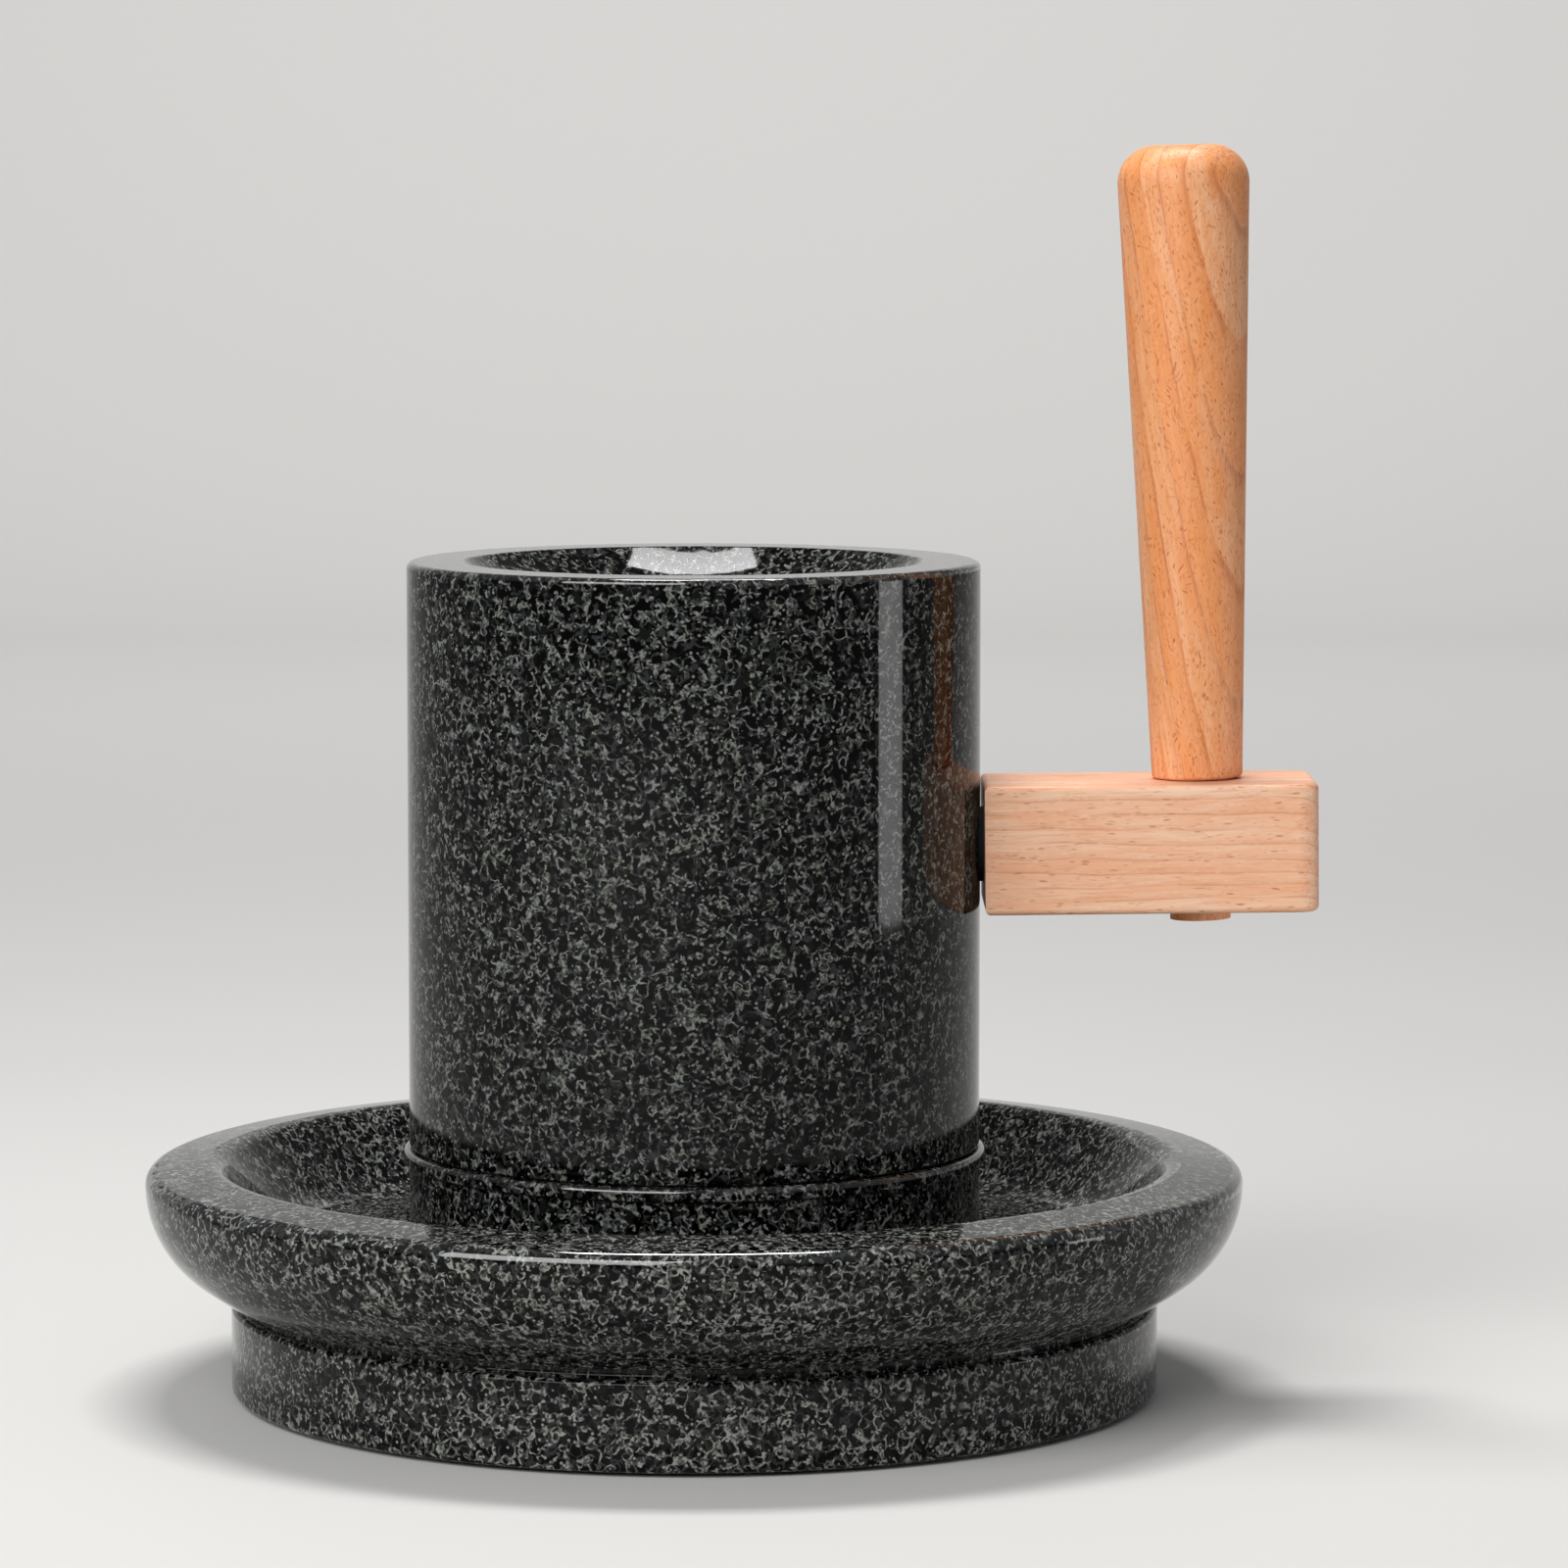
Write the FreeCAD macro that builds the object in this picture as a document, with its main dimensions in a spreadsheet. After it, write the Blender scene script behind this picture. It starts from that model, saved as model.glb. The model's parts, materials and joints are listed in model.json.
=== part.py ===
"""Hand-cranked matcha stone mill, as a parametric FreeCAD document.

Millimetres, +Z up. The origin lies on the mill's axis, in the plane the mill stands on, and the
crank arm points along +X. Every size is a cell of the sheet below, written once. What is worked
out from those sizes is a Length, which carries both its value and the sheet expression that keeps
the model bound to it.

How the mill is built: a granite tray on a foot carries the lower stone. A steel shaft clamps the
two together and holds a ball bearing at its top. The upper stone hangs on that bearing through a
spoked carrier let into its underside, so tea leaf can fall past the hub to the grinding faces.
A stud in the upper stone's side carries the wooden crank arm, and the grip turns in the arm.
"""
import FreeCAD, Part
import math
import os
import Sketcher
from FreeCAD import Placement, Rotation, Vector

SIZES = [
    # Tray and foot, one piece of granite
    ("foot_inset", 19.3, "foot behind the bowl's widest point, on the radius"),
    ("foot_height", 20.0, "wall of the foot, from its underside to the groove"),
    ("foot_edge_round", 1.2, "lower and upper edge of the foot"),
    ("groove_height", 2.7, "width of the groove between foot and bowl"),
    ("groove_depth", 3.0, "of that groove"),
    ("tray_diameter", 250.0, "outside of the bowl at its widest"),
    ("tray_widest_height", 48.7, "widest point above the table"),
    ("bowl_corner_radius", 25.0, "curve of the bowl's wall below its widest point"),
    ("bowl_slope", 56.0, "slope of the bowl's underside, degrees from vertical"),
    ("bowl_hip_radius", 4.0, "curve from that slope into the groove"),
    ("bowl_least_straight", 1.0, "least height of the slope between those two curves"),
    ("rim_outer_round", 3.3, "outer edge of the rim"),
    ("rim_inner_round", 5.0, "from the rim's top into the channel"),
    ("rim_fall", 7.0, "fall of the rim's top towards the outside, degrees"),
    ("rim_width", 19.5, "from the bowl's widest point to where that round would stand upright"),
    ("channel_wall_slope", 35.0, "slope of the channel's wall, degrees from vertical"),
    ("channel_floor_height", 35.0, "floor of the powder channel above the table"),
    ("channel_cove", 12.0, "hollow curve between floor and wall"),
    ("stone_seat_depth", 4.0, "recess in the floor that centres the lower stone"),
    ("stone_seat_clearance", 0.4, "round the lower stone, on the radius"),
    # Mat under the foot
    ("mat_margin", 7.0, "from the foot's wall to the non-slip mat"),
    ("mat_thickness", 2.0, "of the mat"),
    ("mat_recess", 1.0, "depth of the mat's seat in the foot"),
    ("mat_clearance", 0.2, "round the mat, on the radius"),
    # Lower stone
    ("stone_diameter", 130.0, "both stones"),
    ("lower_stone_thickness", 24.3, "from its seat to the grinding face"),
    ("lip_overhang", 1.35, "lip of the lower stone, beyond its wall"),
    ("lip_height", 3.1, "of the lip"),
    ("lip_round", 1.3, "upper edge of the lip"),
    ("lip_under_round", 0.5, "lower edge of the lip"),
    ("lower_stone_foot_chamfer", 0.8, "lower edge of the lower stone"),
    ("feed_cone_diameter", 70.0, "mouth of the hollow in the lower grinding face"),
    ("gasket_thickness", 1.0, "cork ring under the lower stone"),
    ("gasket_margin", 5.0, "from the stone's wall to that ring"),
    ("gasket_inner_diameter", 40.0, "of that ring"),
    # Upper stone
    ("stone_gap", 0.3, "between the grinding faces"),
    ("upper_stone_height", 133.05, "from grinding face to rim"),
    ("upper_foot_round", 0.8, "lower edge of the upper stone"),
    ("upper_rim_round", 1.5, "outer edge of its rim"),
    ("dish_diameter", 104.0, "mouth of the hopper dish"),
    ("dish_depth", 18.9, "from the rim to the mouth of the feed eye"),
    ("dish_curve_radius", 77.6, "of the dish's hollow"),
    ("dish_edge_round", 0.9, "edge between rim and dish"),
    ("eye_diameter", 26.0, "feed eye"),
    ("eye_edge_round", 2.0, "edge between dish and feed eye"),
    ("bell_diameter", 50.0, "bore round the bearing hub"),
    ("bell_height", 16.0, "straight wall of that bore above the carrier"),
    ("bell_cone_height", 6.0, "cone from that bore to the feed eye"),
    ("furrow_width", 2.0, "of each furrow in the grinding faces"),
    ("furrow_depth", 0.8, "of each furrow"),
    ("furrow_spacing", 7.0, "between neighbouring furrows"),
    ("furrow_end_diameter", 116.0, "where the furrows stop, short of the edge"),
    ("furrow_run_out", 5.0, "furrows start this far inside the edge of the feed hollow"),
    ("furrow_sectors", 8, "sectors of furrows in each face"),
    ("furrows_in_sector", 5, "parallel furrows in a sector"),
    # Shaft, nut and washer
    ("shaft_diameter", 16.0, "body and M16 thread"),
    ("shaft_hole_clearance", 0.2, "round the shaft in stone, on the radius"),
    ("shaft_flange_diameter", 33.2, "flange that clamps the lower stone"),
    ("shaft_flange_thickness", 5.0, "of the flange"),
    ("flange_depth", 4.0, "top of the flange below the lower grinding face"),
    ("flange_clearance", 0.4, "round the flange, on the radius"),
    ("shaft_end_height", 3.0, "lower end of the shaft above the table"),
    ("shaft_chamfer", 1.0, "at its lower end"),
    ("journal_tip_length", 2.7, "journal above the bearing"),
    ("journal_lead_in", 1.5, "taper at the journal's tip"),
    ("nut_pocket_diameter", 38.0, "pocket in the underside for nut and socket"),
    ("nut_pocket_height", 14.0, "ceiling of that pocket above the table"),
    ("washer_diameter", 30.0, "under the shaft nut"),
    ("washer_thickness", 2.0, "of that washer"),
    ("nut_across_flats", 24.0, "M16 thin nut"),
    ("nut_thickness", 8.0, "of the nut"),
    # Bearing 6000, 10 x 26 x 8
    ("bearing_bore", 10.0, "of the inner ring"),
    ("bearing_outside", 26.0, "of the outer ring"),
    ("bearing_width", 8.0, "of both rings"),
    ("ball_diameter", 4.762, "of each ball"),
    ("ball_count", 7, "in the bearing"),
    ("ball_clearance", 0.03, "between ball and race"),
    ("race_radius", 2.476, "of both race grooves"),
    ("inner_land_diameter", 14.4, "outside of the inner ring"),
    ("outer_land_diameter", 21.6, "bore of the outer ring"),
    ("shield_seat_depth", 0.8, "recess for a shield in the outer ring's face"),
    ("shield_seat_diameter", 22.8, "of that recess"),
    ("shield_thickness", 0.3, "of each shield"),
    ("shield_clearance", 0.3, "between shield and inner ring, on the radius"),
    ("cage_bottom", 2.9, "crown cage below the balls' centres"),
    ("cage_top", 1.2, "crown cage above the balls' centres"),
    ("cage_wall", 1.6, "of the cage, on the radius"),
    ("cage_clearance", 0.1, "between ball and cage"),
    ("journal_clearance", 0.02, "between journal and inner ring, on the radius"),
    ("shim_thickness", 0.5, "shim that sets the gap between the stones"),
    ("shim_diameter", 14.0, "of that shim"),
    ("shim_clearance", 0.1, "round the journal, on the radius"),
    # Bearing carrier in the upper stone
    ("carrier_diameter", 70.0, "of the spoked plate"),
    ("carrier_clearance", 0.2, "round it in the stone, on the radius"),
    ("carrier_recess_depth", 8.0, "of its seat in the stone's underside"),
    ("carrier_thickness", 5.0, "of the plate"),
    ("carrier_spokes", 3, "spokes, windows and screws"),
    ("window_diameter", 49.0, "outside of the windows"),
    ("window_angle", 84.0, "of each window, degrees"),
    ("hub_diameter", 33.0, "outside of the hub"),
    ("hub_rise", 4.0, "bearing shoulder above the plate's top"),
    ("hub_shoulder_thickness", 1.5, "above the bearing"),
    ("hub_shoulder_bore", 23.0, "bore of that shoulder"),
    ("hub_foot", 1.3, "hub below the retaining ring"),
    ("circlip_slot", 1.2, "width of the retaining ring's groove"),
    ("circlip_groove_diameter", 27.3, "of that groove"),
    ("circlip_thickness", 1.1, "of the retaining ring"),
    ("circlip_inner_diameter", 22.4, "of the retaining ring"),
    ("circlip_gap_angle", 36.0, "open part of the retaining ring, degrees"),
    ("carrier_screw_circle", 61.0, "pitch circle of the carrier screws"),
    ("carrier_screw_diameter", 4.0, "M4 thread"),
    ("carrier_screw_length", 14.5, "overall"),
    ("carrier_screw_hole", 4.4, "in the plate"),
    ("carrier_screw_head", 7.6, "countersunk head"),
    ("carrier_screw_socket", 2.5, "hexagon socket, across flats"),
    ("carrier_socket_depth", 1.4, "of that socket"),
    ("anchor_diameter", 6.0, "threaded sleeves for the carrier screws"),
    ("anchor_length", 12.0, "of those sleeves"),
    ("cap_height", 9.0, "cone that sheds leaf off the hub"),
    ("cap_brim", 1.0, "thickness of its brim"),
    ("cap_tip_diameter", 3.0, "of its flattened tip"),
    ("cap_spigot_clearance", 0.1, "in the hub's shoulder, on the radius"),
    ("cap_spigot_gap", 0.2, "above the bearing"),
    ("cap_cavity_diameter", 14.0, "room for the journal's tip"),
    ("cap_cavity_height", 4.2, "above the brim's underside"),
    # Crank arm and what holds it
    ("arm_axis_height", 125.1, "stud axis above the table, at the stone's wall"),
    ("arm_tilt", 0.6, "rise of the arm towards its end, degrees"),
    ("arm_length", 75.3, "of the arm"),
    ("arm_width", 34.0, "across the crank's plane"),
    ("arm_thickness", 29.2, "height of the arm"),
    ("arm_stand_off", 0.7, "between the stone's wall and the arm"),
    ("arm_edge_round", 1.4, "edges of its top and underside"),
    ("arm_end_round", 4.5, "upright edges at the free end"),
    ("stud_diameter", 10.0, "M10 stud"),
    ("stud_chamfer", 1.0, "at both ends"),
    ("stud_in_stone", 24.0, "length inside the stone"),
    ("stud_in_arm", 30.0, "length outside the stone"),
    ("stone_anchor_diameter", 14.0, "threaded sleeve in the stone"),
    ("stone_anchor_depth", 28.0, "depth of its hole"),
    ("spot_face_diameter", 18.0, "flat on the stone for the arm washer"),
    ("spot_face_depth", 0.7, "of that flat"),
    ("arm_washer_diameter", 17.0, "between stone and arm"),
    ("arm_washer_clearance", 0.2, "round the stud, on the radius"),
    ("arm_insert_diameter", 14.0, "threaded sleeve in the arm"),
    ("arm_insert_length", 26.0, "of that sleeve"),
    ("arm_insert_set_back", 0.2, "behind the arm's end face"),
    # Grip
    ("grip_distance", 49.45, "grip axis from the stone's wall, along the arm"),
    ("grip_lean", 1.66, "of the grip towards the stone, degrees"),
    ("grip_length", 142.9, "from its base to its top"),
    ("grip_base_diameter", 20.6, "at the arm"),
    ("grip_top_diameter", 29.7, "at the shoulder"),
    ("grip_base_round", 0.8, "lower edge"),
    ("grip_top_round", 8.5, "shoulder"),
    ("tenon_diameter", 12.0, "spindle of the grip through the arm"),
    ("tenon_clearance", 0.06, "in the arm's bore, on the radius"),
    ("thrust_washer_diameter", 17.0, "under the grip"),
    ("thrust_washer_thickness", 0.8, "of that washer"),
    ("thrust_seat_depth", 0.55, "of its seat in the arm"),
    ("thrust_seat_clearance", 0.3, "round it, on the radius"),
    ("thrust_gap", 0.05, "between washer and grip"),
    ("keeper_gap", 0.3, "between arm and keeper disc"),
    ("keeper_diameter", 13.8, "disc that holds the spindle in the arm"),
    ("keeper_thickness", 2.5, "of that disc"),
    ("keeper_screw_diameter", 3.5, "wood screw"),
    ("keeper_screw_head", 6.8, "countersunk head"),
    ("keeper_screw_length", 20.0, "overall"),
    ("keeper_socket", 2.5, "hexagon socket, across flats"),
    ("keeper_socket_depth", 1.2, "of that socket"),
]


class Length:
    """A size worked out from the sheet: its value, and the expression that gives it."""

    def __init__(self, value, text):
        self.value = float(value)
        self.text = text

    def __add__(self, other):
        other = as_length(other)
        return Length(self.value + other.value, f"({self.text} + {other.text})")

    def __sub__(self, other):
        other = as_length(other)
        return Length(self.value - other.value, f"({self.text} - {other.text})")

    def __mul__(self, other):
        other = as_length(other)
        return Length(self.value * other.value, f"({self.text} * {other.text})")

    def __truediv__(self, other):
        other = as_length(other)
        return Length(self.value / other.value, f"({self.text} / {other.text})")

    def __neg__(self):
        return Length(-self.value, f"(0 - {self.text})")

    __radd__ = __add__
    __rmul__ = __mul__

    def __rsub__(self, other):
        return as_length(other) - self

    def __rtruediv__(self, other):
        return as_length(other) / self


def as_length(number):
    return number if isinstance(number, Length) else Length(number, repr(float(number)))


def cosine(degrees):
    degrees = as_length(degrees)
    return Length(math.cos(math.radians(degrees.value)), f"cos({degrees.text} * 1 deg)")


def sine(degrees):
    degrees = as_length(degrees)
    return Length(math.sin(math.radians(degrees.value)), f"sin({degrees.text} * 1 deg)")


def tangent(degrees):
    degrees = as_length(degrees)
    return Length(math.tan(math.radians(degrees.value)), f"tan({degrees.text} * 1 deg)")


def root(square):
    return Length(math.sqrt(square.value), f"sqrt({square.text})")


def larger(first, second):
    return Length(max(first.value, second.value), f"max({first.text}; {second.text})")


def smaller(first, second):
    return Length(min(first.value, second.value), f"min({first.text}; {second.text})")


class Sheet:
    """The document's spreadsheet, with each driving size as an attribute."""

    def __init__(self, document, sizes):
        self.cells = document.addObject("Spreadsheet::Sheet", "Sizes")
        for row, (name, value, meaning) in enumerate(sizes, start=1):
            self.cells.set(f"A{row}", meaning)
            self.cells.set(f"B{row}", str(value))
            self.cells.setAlias(f"B{row}", name)
            setattr(self, name, Length(value, f"Sizes.{name}"))


doc = FreeCAD.newDocument("matcha_stone_mill")
S = Sheet(doc, SIZES)
doc.recompute()
nodes = []


# ---------------------------------------------------------------- building helpers

def bind(thing, path, length):
    """Bind one property of an object to a size."""
    thing.setExpression(path, as_length(length).text)


def bind_angle(thing, path, degrees):
    thing.setExpression(path, f"{as_length(degrees).text} * 1 deg")


def origin_feature(body, role):
    return [feature for feature in body.Origin.OriginFeatures if feature.Role == role][0]


def new_body(label, frame=None):
    """An empty body, standing in the mill's frame or in a leaning one."""
    body = doc.addObject("PartDesign::Body", label)
    body.Label = label
    nodes.append(body)
    if frame:
        frame.carry(body)
    return body


def new_sketch(body, name, plane, x=0, y=0, z=0, turn=0):
    """A sketch on one of the body's origin planes, moved and turned within that plane's frame."""
    sketch = body.newObject("Sketcher::SketchObject", name)
    sketch.AttachmentSupport = [(origin_feature(body, plane), "")]
    sketch.MapMode = "FlatFace"
    bind(sketch, "AttachmentOffset.Base.x", x)
    bind(sketch, "AttachmentOffset.Base.y", y)
    bind(sketch, "AttachmentOffset.Base.z", z)
    bind_angle(sketch, "AttachmentOffset.Rotation.Angle", turn)
    sketch.Visibility = False
    return sketch


def arc_between(start, end, radius):
    """The arc from start to end: anticlockwise for a positive radius, clockwise for a negative."""
    chord = end - start
    left = Vector(-chord.y, chord.x, 0).normalize()
    rise = math.sqrt(max(radius * radius - chord.Length ** 2 / 4, 0.0))
    centre = (start + end) / 2 + left * math.copysign(rise, radius)
    first, last = (start, end) if radius > 0 else (end, start)
    first_angle = math.atan2(first.y - centre.y, first.x - centre.x)
    last_angle = math.atan2(last.y - centre.y, last.x - centre.x)
    circle = Part.Circle(centre, Vector(0, 0, 1), abs(radius))
    return Part.ArcOfCircle(circle, first_angle, last_angle)


def fix_point(sketch, geometry, end, x, y):
    """Hold one end of a line or arc at x and y, both bound to the sheet."""
    for kind, length in (("DistanceX", x), ("DistanceY", y)):
        length = as_length(length)
        constraint = Sketcher.Constraint(kind, -1, 1, geometry, end, length.value)
        index = sketch.addConstraint(constraint)
        bind(sketch, f"Constraints[{index}]", length)


def draw_outline(sketch, path):
    """A closed outline through path. Each corner is (x, y), reached by a straight line, or
    (x, y, radius), reached by an arc that turns left if the radius is positive, else right."""
    corners = [Vector(as_length(step[0]).value, as_length(step[1]).value, 0) for step in path]
    first = sketch.GeometryCount
    ends = []
    for index, step in enumerate(path):
        start, end = corners[index - 1], corners[index]
        radius = as_length(step[2]) if len(step) == 3 else None
        if radius is None:
            geometry = sketch.addGeometry(Part.LineSegment(start, end), False)
        else:
            geometry = sketch.addGeometry(arc_between(start, end, radius.value), False)
            bind_radius(sketch, geometry, radius)
        clockwise = radius is not None and radius.value < 0
        ends.append((2, 1) if clockwise else (1, 2))
    for index, step in enumerate(path):
        following = (index + 1) % len(path)
        joint = Sketcher.Constraint("Coincident", first + index, ends[index][1],
                                    first + following, ends[following][0])
        sketch.addConstraint(joint)
        fix_point(sketch, first + index, ends[index][1], step[0], step[1])


def bind_radius(sketch, geometry, radius):
    sign = 1 if radius.value > 0 else -1
    index = sketch.addConstraint(Sketcher.Constraint("Radius", geometry, abs(radius.value)))
    bind(sketch, f"Constraints[{index}]", radius * sign)


def revolve(body, name, outline, axis="V_Axis", cut=False, **place):
    """Turn an outline of (radius, height) about the vertical axis, or (length, radius) about the
    horizontal one, to add material or to cut it away."""
    sketch = new_sketch(body, name + "_section", "XZ_Plane", **place)
    draw_outline(sketch, outline)
    feature = body.newObject("PartDesign::Groove" if cut else "PartDesign::Revolution", name)
    feature.Profile = sketch
    feature.ReferenceAxis = (sketch, [axis])
    feature.Angle = 360
    body.Tip = feature
    return feature


def pocket(body, name, outlines, depth, height, upward=False):
    """Cut flat outlines, drawn at a height, down into the body or up into it."""
    sketch = new_sketch(body, name + "_outline", "XY_Plane", z=height)
    for outline in outlines:
        draw_outline(sketch, outline)
    feature = body.newObject("PartDesign::Pocket", name)
    feature.Profile = sketch
    bind(feature, "Length", depth)
    feature.Reversed = upward
    body.Tip = feature
    return feature


def repeat(body, feature, count):
    """Repeat a feature round the body's vertical axis."""
    pattern = body.newObject("PartDesign::PolarPattern", feature.Name + "_ring")
    pattern.Originals = [feature]
    pattern.Axis = (origin_feature(body, "Z_Axis"), [""])
    pattern.Angle = 360
    bind(pattern, "Occurrences", count)
    body.Tip = pattern
    return pattern


def round_edges(body, name, radius, chosen):
    """Fillet the edges of the body so far that the test picks."""
    doc.recompute()
    base = body.Tip
    names = [f"Edge{i}" for i, edge in enumerate(base.Shape.Edges, start=1) if chosen(edge)]
    fillet = body.newObject("PartDesign::Fillet", name)
    fillet.Base = (base, names)
    bind(fillet, "Radius", radius)
    body.Tip = fillet
    return fillet


def circle_at(radius, height):
    """A test for the level circular edge of that radius at that height."""
    def chosen(edge):
        curve = edge.Curve
        if not isinstance(curve, Part.Circle):
            return False
        level = abs(curve.Center.z - height.value) < 0.01
        return level and abs(curve.Radius - radius.value) < 0.01
    return chosen


def cylinder(name, radius, height, bottom, x=0, y=0):
    """An upright cylinder."""
    solid = doc.addObject("Part::Cylinder", name)
    bind(solid, "Radius", radius)
    bind(solid, "Height", height)
    bind(solid, "Placement.Base.x", x)
    bind(solid, "Placement.Base.y", y)
    bind(solid, "Placement.Base.z", bottom)
    return solid


def cone(name, lower_radius, upper_radius, height, bottom, x=0, y=0):
    """An upright cone, cut off at its top."""
    solid = doc.addObject("Part::Cone", name)
    bind(solid, "Radius1", lower_radius)
    bind(solid, "Radius2", upper_radius)
    bind(solid, "Height", height)
    bind(solid, "Placement.Base.x", x)
    bind(solid, "Placement.Base.y", y)
    bind(solid, "Placement.Base.z", bottom)
    return solid


def hexagon(name, across_flats, height, bottom, x=0, y=0):
    """An upright hexagonal prism."""
    solid = doc.addObject("Part::Prism", name)
    solid.Polygon = 6
    bind(solid, "Circumradius", across_flats / (2 * cosine(30)))
    bind(solid, "Height", height)
    bind(solid, "Placement.Base.x", x)
    bind(solid, "Placement.Base.y", y)
    bind(solid, "Placement.Base.z", bottom)
    return solid


def cut(name, base, tool):
    result = doc.addObject("Part::Cut", name)
    result.Label = name
    result.Base = base
    result.Tool = tool
    return result


def fuse(name, pieces):
    result = doc.addObject("Part::MultiFuse", name)
    result.Shapes = pieces
    return result


def tube(name, inner, outer, bottom, height, x=0, y=0):
    """An upright ring of two radii."""
    wall = cylinder(name + "_wall", outer, height, bottom, x, y)
    bore = cylinder(name + "_bore", inner, height, bottom, x, y)
    return cut(name, wall, bore)


def group(label, solids):
    """Several separate solids as one node."""
    compound = doc.addObject("Part::Compound", label)
    compound.Label = label
    compound.Links = solids
    nodes.append(compound)
    return compound


class LeaningFrame:
    """A frame in the crank's plane, with its origin at x, z and leaning towards -X."""

    def __init__(self, x, z, lean):
        self.x = as_length(x)
        self.z = as_length(z)
        self.lean = as_length(lean)

    def carry(self, thing):
        """Place an object's own frame in this one."""
        turn = Rotation(Vector(0, -1, 0), self.lean.value)
        thing.Placement = Placement(Vector(self.x.value, 0, self.z.value), turn)
        bind(thing, "Placement.Base.x", self.x)
        bind(thing, "Placement.Base.z", self.z)
        bind_angle(thing, "Placement.Rotation.Angle", self.lean)


# ---------------------------------------------------------------- heights and radii that pieces share

foot_underside = S.mat_thickness - S.mat_recess
groove_bottom = foot_underside + S.foot_height
bowl_underside = groove_bottom + S.groove_height
seat_floor = S.channel_floor_height - S.stone_seat_depth
lower_stone_bottom = seat_floor + S.gasket_thickness
lower_face = lower_stone_bottom + S.lower_stone_thickness
upper_face = lower_face + S.stone_gap
rim_height = upper_face + S.upper_stone_height
stone_radius = S.stone_diameter / 2
tray_radius = S.tray_diameter / 2
foot_radius = tray_radius - S.foot_inset
mat_radius = foot_radius - S.mat_margin
shaft_radius = S.shaft_diameter / 2
shaft_hole_radius = shaft_radius + S.shaft_hole_clearance
flange_top = lower_face - S.flange_depth
flange_bottom = flange_top - S.shaft_flange_thickness

carrier_ceiling = upper_face + S.carrier_recess_depth
carrier_bottom = carrier_ceiling - S.carrier_thickness
bearing_top = carrier_ceiling + S.hub_rise
bearing_bottom = bearing_top - S.bearing_width
bearing_middle = bearing_top - S.bearing_width / 2
shaft_shoulder = bearing_bottom - S.shim_thickness
hub_top = bearing_top + S.hub_shoulder_thickness
hub_bottom = bearing_bottom - S.circlip_slot - S.hub_foot
journal_radius = S.bearing_bore / 2 - S.journal_clearance
journal_top = bearing_top + S.journal_tip_length
ball_radius = S.ball_diameter / 2
ball_circle_radius = (S.inner_land_diameter + S.outer_land_diameter) / 4
carrier_screw_radius = S.carrier_screw_circle / 2

arm_frame = LeaningFrame(stone_radius, S.arm_axis_height, S.arm_tilt)
arm_half = S.arm_thickness / 2
grip_frame = LeaningFrame(
    stone_radius + S.grip_distance * cosine(S.arm_tilt) - arm_half * sine(S.arm_tilt),
    S.arm_axis_height + S.grip_distance * sine(S.arm_tilt) + arm_half * cosine(S.arm_tilt),
    S.grip_lean)
grip_base = S.thrust_washer_thickness - S.thrust_seat_depth + S.thrust_gap
tenon_end = -(S.arm_thickness + S.keeper_gap)


# ---------------------------------------------------------------- base

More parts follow.
